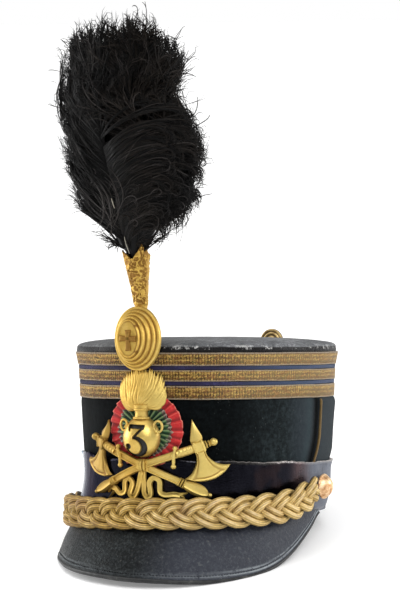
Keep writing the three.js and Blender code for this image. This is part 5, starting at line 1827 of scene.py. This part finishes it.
def strand_skin(paths, half, tone, brown=0.0):
    """All the strands as one patch. A strand has three sides, is twice as wide as it is thick, and
    ends in a point. Its numbers are laid out as whole arrays: strand, step, corner."""
    count, steps = paths.shape[:2]
    outward = (paths - PLUME_HEART) * [1, 1.4, 0.25] + scatter(0, 16, (count, 1, 3))
    ahead = unit(np.gradient(paths, axis=1))
    side = unit(np.cross(ahead, outward))
    over = np.cross(side, ahead)
    t = np.linspace(0, 1, steps)
    shape = (0.55 + 0.45 * np.sin(np.pi * (0.15 + 0.7 * t))) * (1 - 0.4 * t**2.5)
    width = (np.broadcast_to(half, count)[:, None] * shape)[..., None]
    rings = np.stack([paths - side * width, paths + side * width, paths + over * width * 0.8], 2)[:, :-1]
    points = np.concatenate([rings.reshape(count, -1, 3), paths[:, -1:]], 1)
    per = points.shape[1]
    pattern = strand_faces(steps)
    faces = np.where(pattern < 0, -1, pattern + np.arange(count)[:, None, None] * per).reshape(-1, 4)
    points = points.reshape(-1, 3)
    run = np.concatenate([np.repeat(t[:-1], 3), [1]])
    along, tones, browns = (np.broadcast_to(v, (count, per)).ravel()
                            for v in (run, *(np.broadcast_to(v, count)[:, None] for v in (tone, brown))))
    chart = np.stack([along, tones], -1)[faces.clip(0)]
    if enclosed(points[:per], faces[:len(pattern)]) < 0:
        faces, chart = turned_over(faces, chart)
    return Patch(points, faces, chart, {"along": along, "strand": tones, "brown": browns})


def lock_tones(locks, strands):
    """A strand is as light as its lock, give or take; only a few are really light."""
    lock = np.repeat(chance.random(locks), strands)
    return 0.38 * lock + 0.62 * chance.random(locks * strands)


def spaced(low, high, count):
    """Numbers spread evenly over a range, each moved a little from its even place."""
    return np.linspace(low, high, count) + pick(-0.5, 0.5, count) * (high - low) / count


def rows_of(*columns):
    """Control columns, each a number or one for every lock, as an array (lock, control)."""
    return np.stack(np.broadcast_arrays(*(np.atleast_1d(column) for column in columns)), -1).astype(float)


def between(start, end, *shares):
    """Control columns at shares of the way from start to end."""
    return rows_of(*(start + share * (end - start) for share in shares))


print("faces of a strand:", len(strand_faces(9)))

# %% Feather finish
feather = Finish("black_feather", specular_ior_level=0.14)
strand, brown = feather.mark("strand"), feather.mark("brown")
brown_share = brown * feather.noise(30, 3, 0.5).above(0.42, 0.3) * strand.above(0.45, 0.4) * 0.8
# painted shade: strands are darkened near their roots, deep inside the plume
root_shade = feather.mark("along").below(0.16, 0.24) * strand.below(1.5, 0) * 0.8
tone = feather.coats(
    feather.ramp(strand * 0.5, (0.21, (0.0005, 0.0005, 0.0006)), (0.3, (0.002, 0.0019, 0.002)),
                 (0.38, (0.0095, 0.009, 0.009)), (0.47, (0.062, 0.057, 0.056)), (0.6, (0.09, 0.085, 0.08)),
                 (0.95, (0.5, 0.47, 0.38))),
    (brown_share, (0.024, 0.0175, 0.0128)),
    (root_shade, (0.0005, 0.0005, 0.0006)))
feather.feed(base_color=tone, roughness=0.45 + strand * 0.15)

# %% Vane of the front feather
QUILL_HEIGHTS = [150, 190, 223, 258, 292, 336]
QUILL_TURNS = [-1.6, -1.6, -1.66, -1.82, -1.8, -1.88]
VANE_FACES = np.array([0.42, -0.91, 0.0])


def quill_turn(height):
    """The turn at which the front quill stands at a height."""
    return np.interp(height, QUILL_HEIGHTS, QUILL_TURNS)


def vane_skin(paths, thin, locks, strands, brown):
    """Strands of a vane, each of its own thickness and tone."""
    return strand_skin(paths, pick(thin, 0.38, len(paths)), lock_tones(locks, strands), brown)


locks = 330
root = spaced(188, 318, locks)
climb = pick(26, 58, locks)
start = quill_turn(root)
end = np.where(root > 262, start - pick(-0.35, 0.95, locks), -2.72 + scatter(0, 0.2, locks))
tip = np.minimum(root + climb, ceiling(end) + pick(-12, 5, locks))
edge = 0.93 + scatter(0, 0.03, locks) + 0.1 * (chance.random(locks) < 0.2) * (root < 250)
left_vane = barbs(between(start, end, 0, 0.4, 0.85, 1, 1.03),
                  rows_of(0.86, 0.92, edge, edge, edge + scatter(0.01, 0.04, locks)),
                  between(root, tip, 0, 0.22, 0.5, 0.75, 1),
                  0, scatter(0.2, 1.6, locks), 0.5, 5, 10, 1.2, 0.7, VANE_FACES)
left_skin = vane_skin(left_vane, 0.24, locks, 5, 0.1)

locks = 20
root = spaced(252, 282, locks)
bulge = 1.04 + 0.12 * chance.random(locks)
bowed = barbs(rows_of(-2.3, -2.6, -2.75, -2.7, -2.55), rows_of(0.86, 1.0, bulge, bulge + 0.05, 0.96),
              rows_of(root, root + 8, root + 18, root + 32, root + 40 + scatter(0, 4, locks)),
              0, scatter(0.5, 1.6, locks), 0.5, 3, 13, 1.3, 0.7, VANE_FACES)
bowed_skin = vane_skin(bowed, 0.28, locks, 3, 0.1)

locks = 340
root = spaced(184, 254, locks)
root = root + 6.0 * (root > 252)
start, end = quill_turn(root), pick(-0.7, 0.1, locks)
lift = 17.5 + pick(-4.5, 4.5, locks) * np.clip(np.abs(root - 255) / 14, 0.1, 1)
sag = np.where(root > 256, pick(-8, 5, locks), pick(2, 18, locks))
wavy = scatter(0, 6.5, locks) * np.clip(np.abs(root - 250) / 12, 0.15, 1)
reach = np.where(chance.random(locks) < 0.62, pick(0.86, 0.98, locks), pick(1.0, 1.16, locks))
right_vane = barbs(between(start, end, 0, 0.25, 0.62, 0.9, 1),
                   rows_of(0.9, 0.98, 1.0, 0.5 + 0.5 * reach, reach),
                   root[:, None] + rows_of(0, 0.7 * lift, 1.3 * lift + wavy, 1.3 * lift - wavy, lift),
                   sag, -np.abs(scatter(1.8, 1.5, locks)), 0.35, 5, 11, 0.6, 0.72, VANE_FACES)
right_skin = vane_skin(right_vane, 0.24, locks, 5, 0.45)

# %% Front feather
STEM_FOOT, STEM_PLACE = 152, np.array([-0.6, -108.0])


def quill(turn, depth, top, radius=1.1):
    """A tapered tube on the same oval as the barbs' roots. Inside the cup it draws in to the stem."""
    level = np.linspace(0, 1, 40)
    height = STEM_FOOT + (top - STEM_FOOT) * level
    path = in_plume(turn(height), depth, np.maximum(height, 184))
    path[:, 2] = height
    inward = (1 - np.clip((height - 160) / 32, 0, 1))[:, None]
    path[:, :2] += (STEM_PLACE - path[:, :2]) * inward * 0.85
    return tube(path, radius * (1 - 0.8 * level), 8)


make_piece("front_feather", [left_skin, bowed_skin, right_skin, quill(quill_turn, 0.85, 322)], feather,
           ("plume",))

# %% Rear feathers
# turn of the quill, depth, count of locks, brownness, height of the lowest and highest roots
REAR = [(-0.95, 0.74, 310, 0.7, 252, 322), (0.15, 0.8, 180, 0.5, 196, 320), (1.25, 0.85, 160, 0.3, 192, 320),
        (2.35, 0.85, 160, 0.2, 192, 320), (-2.75, 0.8, 140, 0.2, 196, 318)]
for number, (turn, depth, locks, browned, low, high) in enumerate(REAR):
    root = spaced(low, high, locks)
    side = np.where(chance.random(locks) < 0.5, -1.0, 1.0)
    climb = pick(14, 46, locks)
    reach = side * pick(0.1, 1.25, locks) * np.clip((330 - root) / 40, 0.3, 1)
    tip = np.minimum(root + climb, ceiling(turn + reach) + pick(-14, 4, locks))
    wave = scatter(0, 0.3, locks)
    share = pick(0.78, 0.98, locks)
    paths = barbs(turn + rows_of(0, 0.4 * reach, 0.75 * reach + wave, reach - wave, reach),
                  rows_of(depth, 0.5 * depth + 0.5 * share, share, share, share),
                  between(root, tip, 0, 0.3, 0.6, 0.85, 1),
                  pick(-2, 6, locks), scatter(0, 1.7, locks), 0.7, 5, 9, 1.6, 0.35)
    strands = strand_skin(paths, pick(0.2, 0.36, len(paths)), lock_tones(locks, 5), browned)
    stem = quill(lambda height, turn=turn: turn + 0 * height, depth - 0.04, 324, 1.0)
    make_piece(f"rear_feather_{number + 1}", [strands, stem], feather)

# %% Tips, curls and loose strands
count = 130
turns = pick(-np.pi, np.pi, count)
top = ceiling(turns) + pick(-10, 5, count)
share = pick(0.1, 1.0, count)
crest = barbs(turns[:, None] + [0, 0.1, 0, 0], rows_of(share, share, share * 1.03, share * 1.03),
              top[:, None] - [34, 20, 9, 0], 0, scatter(0, 0.9, count), 1.0, 4, 8, 1.2)

count = 34
root = pick(190, 224, count)
turns = pick(-1.75, -0.5, count)
curls = barbs(turns[:, None] + [0, 0.12, 0.3], rows_of(1.0, 1.07, 1.08), root[:, None] + [0, 10, 18], 4,
              np.where(chance.random(count) < 0.75, -1, 1) * pick(2.5, 6.0, count), 0.3, 1, 18, 1.2, 0.15,
              VANE_FACES)

count = 16
root = pick(222, 240, count)
turns = pick(-2.1, -1.7, count)
hanging = barbs(turns[:, None] + [0, 0.25, 0.35, 0.2], rows_of(0.98, 1.05, 1.06, 1.08),
                root[:, None] - [0, 6, 22, 34], 0, scatter(0, 1.5, count), 0.3, 1, 16, 1.4, 0.5, VANE_FACES)

count = 60
root = pick(214, 272, count)
turns = pick(-0.75, -0.35, count)
looped = barbs(turns[:, None] + [0, 0.3, 0.5], rows_of(0.95, 1.02, pick(1.0, 1.16, count)),
               root[:, None] + [0, 5, 4], pick(0, 5, count), -pick(2.5, 5.5, count), 0.3, 2, 16, 0.8, 0.4,
               VANE_FACES)

count = 110
root = pick(190, 318, count)
turns = pick(-np.pi, np.pi, count)
drop = pick(-4, 14, count)
loose = barbs(turns[:, None] + [0, 0.15, 0.3], rows_of(0.9, 1.05, pick(1.0, 1.14, count)),
              root[:, None] + [0, 14, 26], drop, scatter(0, 1.6, count), 0.8, 1, 13, 1.3, 0.3)

# %% Loose strands set one by one
# long single barbs: where each starts (turn, height), how far out it ends, how far it climbs, its curl
SINGLES = np.array([
    (-2.6, 303, 1.34, 5, 0.5), (-2.6, 279, 1.3, 4, -0.5), (-2.7, 318, 1.15, 12, 0.4),
    (0.1, 303, 1.3, 20, 0.2), (0.2, 281, 1.42, 6, 0.4), (0.25, 272, 1.3, 16, 0.9), (0.15, 266, 1.25, 8, 0.7),
    (-0.2, 218, 1.2, -2, -1.6), (-0.1, 220, 1.3, -8, -1.8), (-0.3, 214, 1.2, -10, -1.2),
    (-2.5, 206, 1.2, 8, 1.8), (-2.4, 212, 1.15, 8, 2.2), (-1.0, 336, 0.9, 14, 2.8),
    (-0.8, 332, 0.8, 20, 0.4)])
turns, root, share, climb, curl = SINGLES.T
singles = barbs(turns[:, None] + np.zeros(4), rows_of(0.85, 0.6 + 0.4 * share, 0.3 + 0.7 * share, share),
                between(root, root + climb, 0, 0.5, 0.8, 1), 0, curl, 0.1, 2, 16, 0.35, 0.4, VANE_FACES)

count = 48
turns = pick(-np.pi, np.pi, count)
collar = barbs(turns[:, None] + [0, 0, 0.2], rows_of(0.6, 1.05, pick(1.05, 1.4, count)),
               rows_of(183, 190, pick(188, 202, count)), pick(0, 8, count), scatter(0, 1.4, count), 1.0, 3,
               10)
bare = barbs(rows_of([-1.6, -1.66], [-1.62, -1.6], [-1.64, -1.5]), rows_of(1.1, 1.1, [1.1, 1.12]),
             rows_of([211, 181], [214, 186], [218, 192.5]), 0, 0.0, 0.1, 1, 8, 0.05)
# each kind's paths, half width and least tone
KINDS = [(crest, 0.28, 0.3), (curls, 0.3, 0.54), (hanging, 0.3, 0.62), (looped, 0.34, 0.2),
         (loose, 0.24, 0.3), (singles, 0.27, 0.6), (collar, 0.26, 0.3), (bare, 0.42, 1.6)]
make_piece("loose_barbs", [strand_skin(paths, half, pale + 0.38 * chance.random(len(paths)), 0.5)
                           for paths, half, pale in KINDS], feather)

# %% Heart of the plume
# a dark, uneven core, so that no light comes through between the barbs: a near-black sheet
# that stands in for the shade inside the plume
rows = np.linspace(178, 322, 56)[:, None]
turns = round_turn(72)
heart = in_plume(turns, 0.7 - 0.12 * ramp_step(rows, 290, 322), rows + 0 * turns)
heart += (1.6 * drift(heart * [1, 1, 0.35], 5, 150))[..., None] * (heart - PLUME_HEART) / 60
shade_core_skin = skin(heart, poles=(heart[0].mean(0), heart[-1].mean(0) + [0, 0, 2]))
make_piece("plume_shade_core", [shade_core_skin], feather)
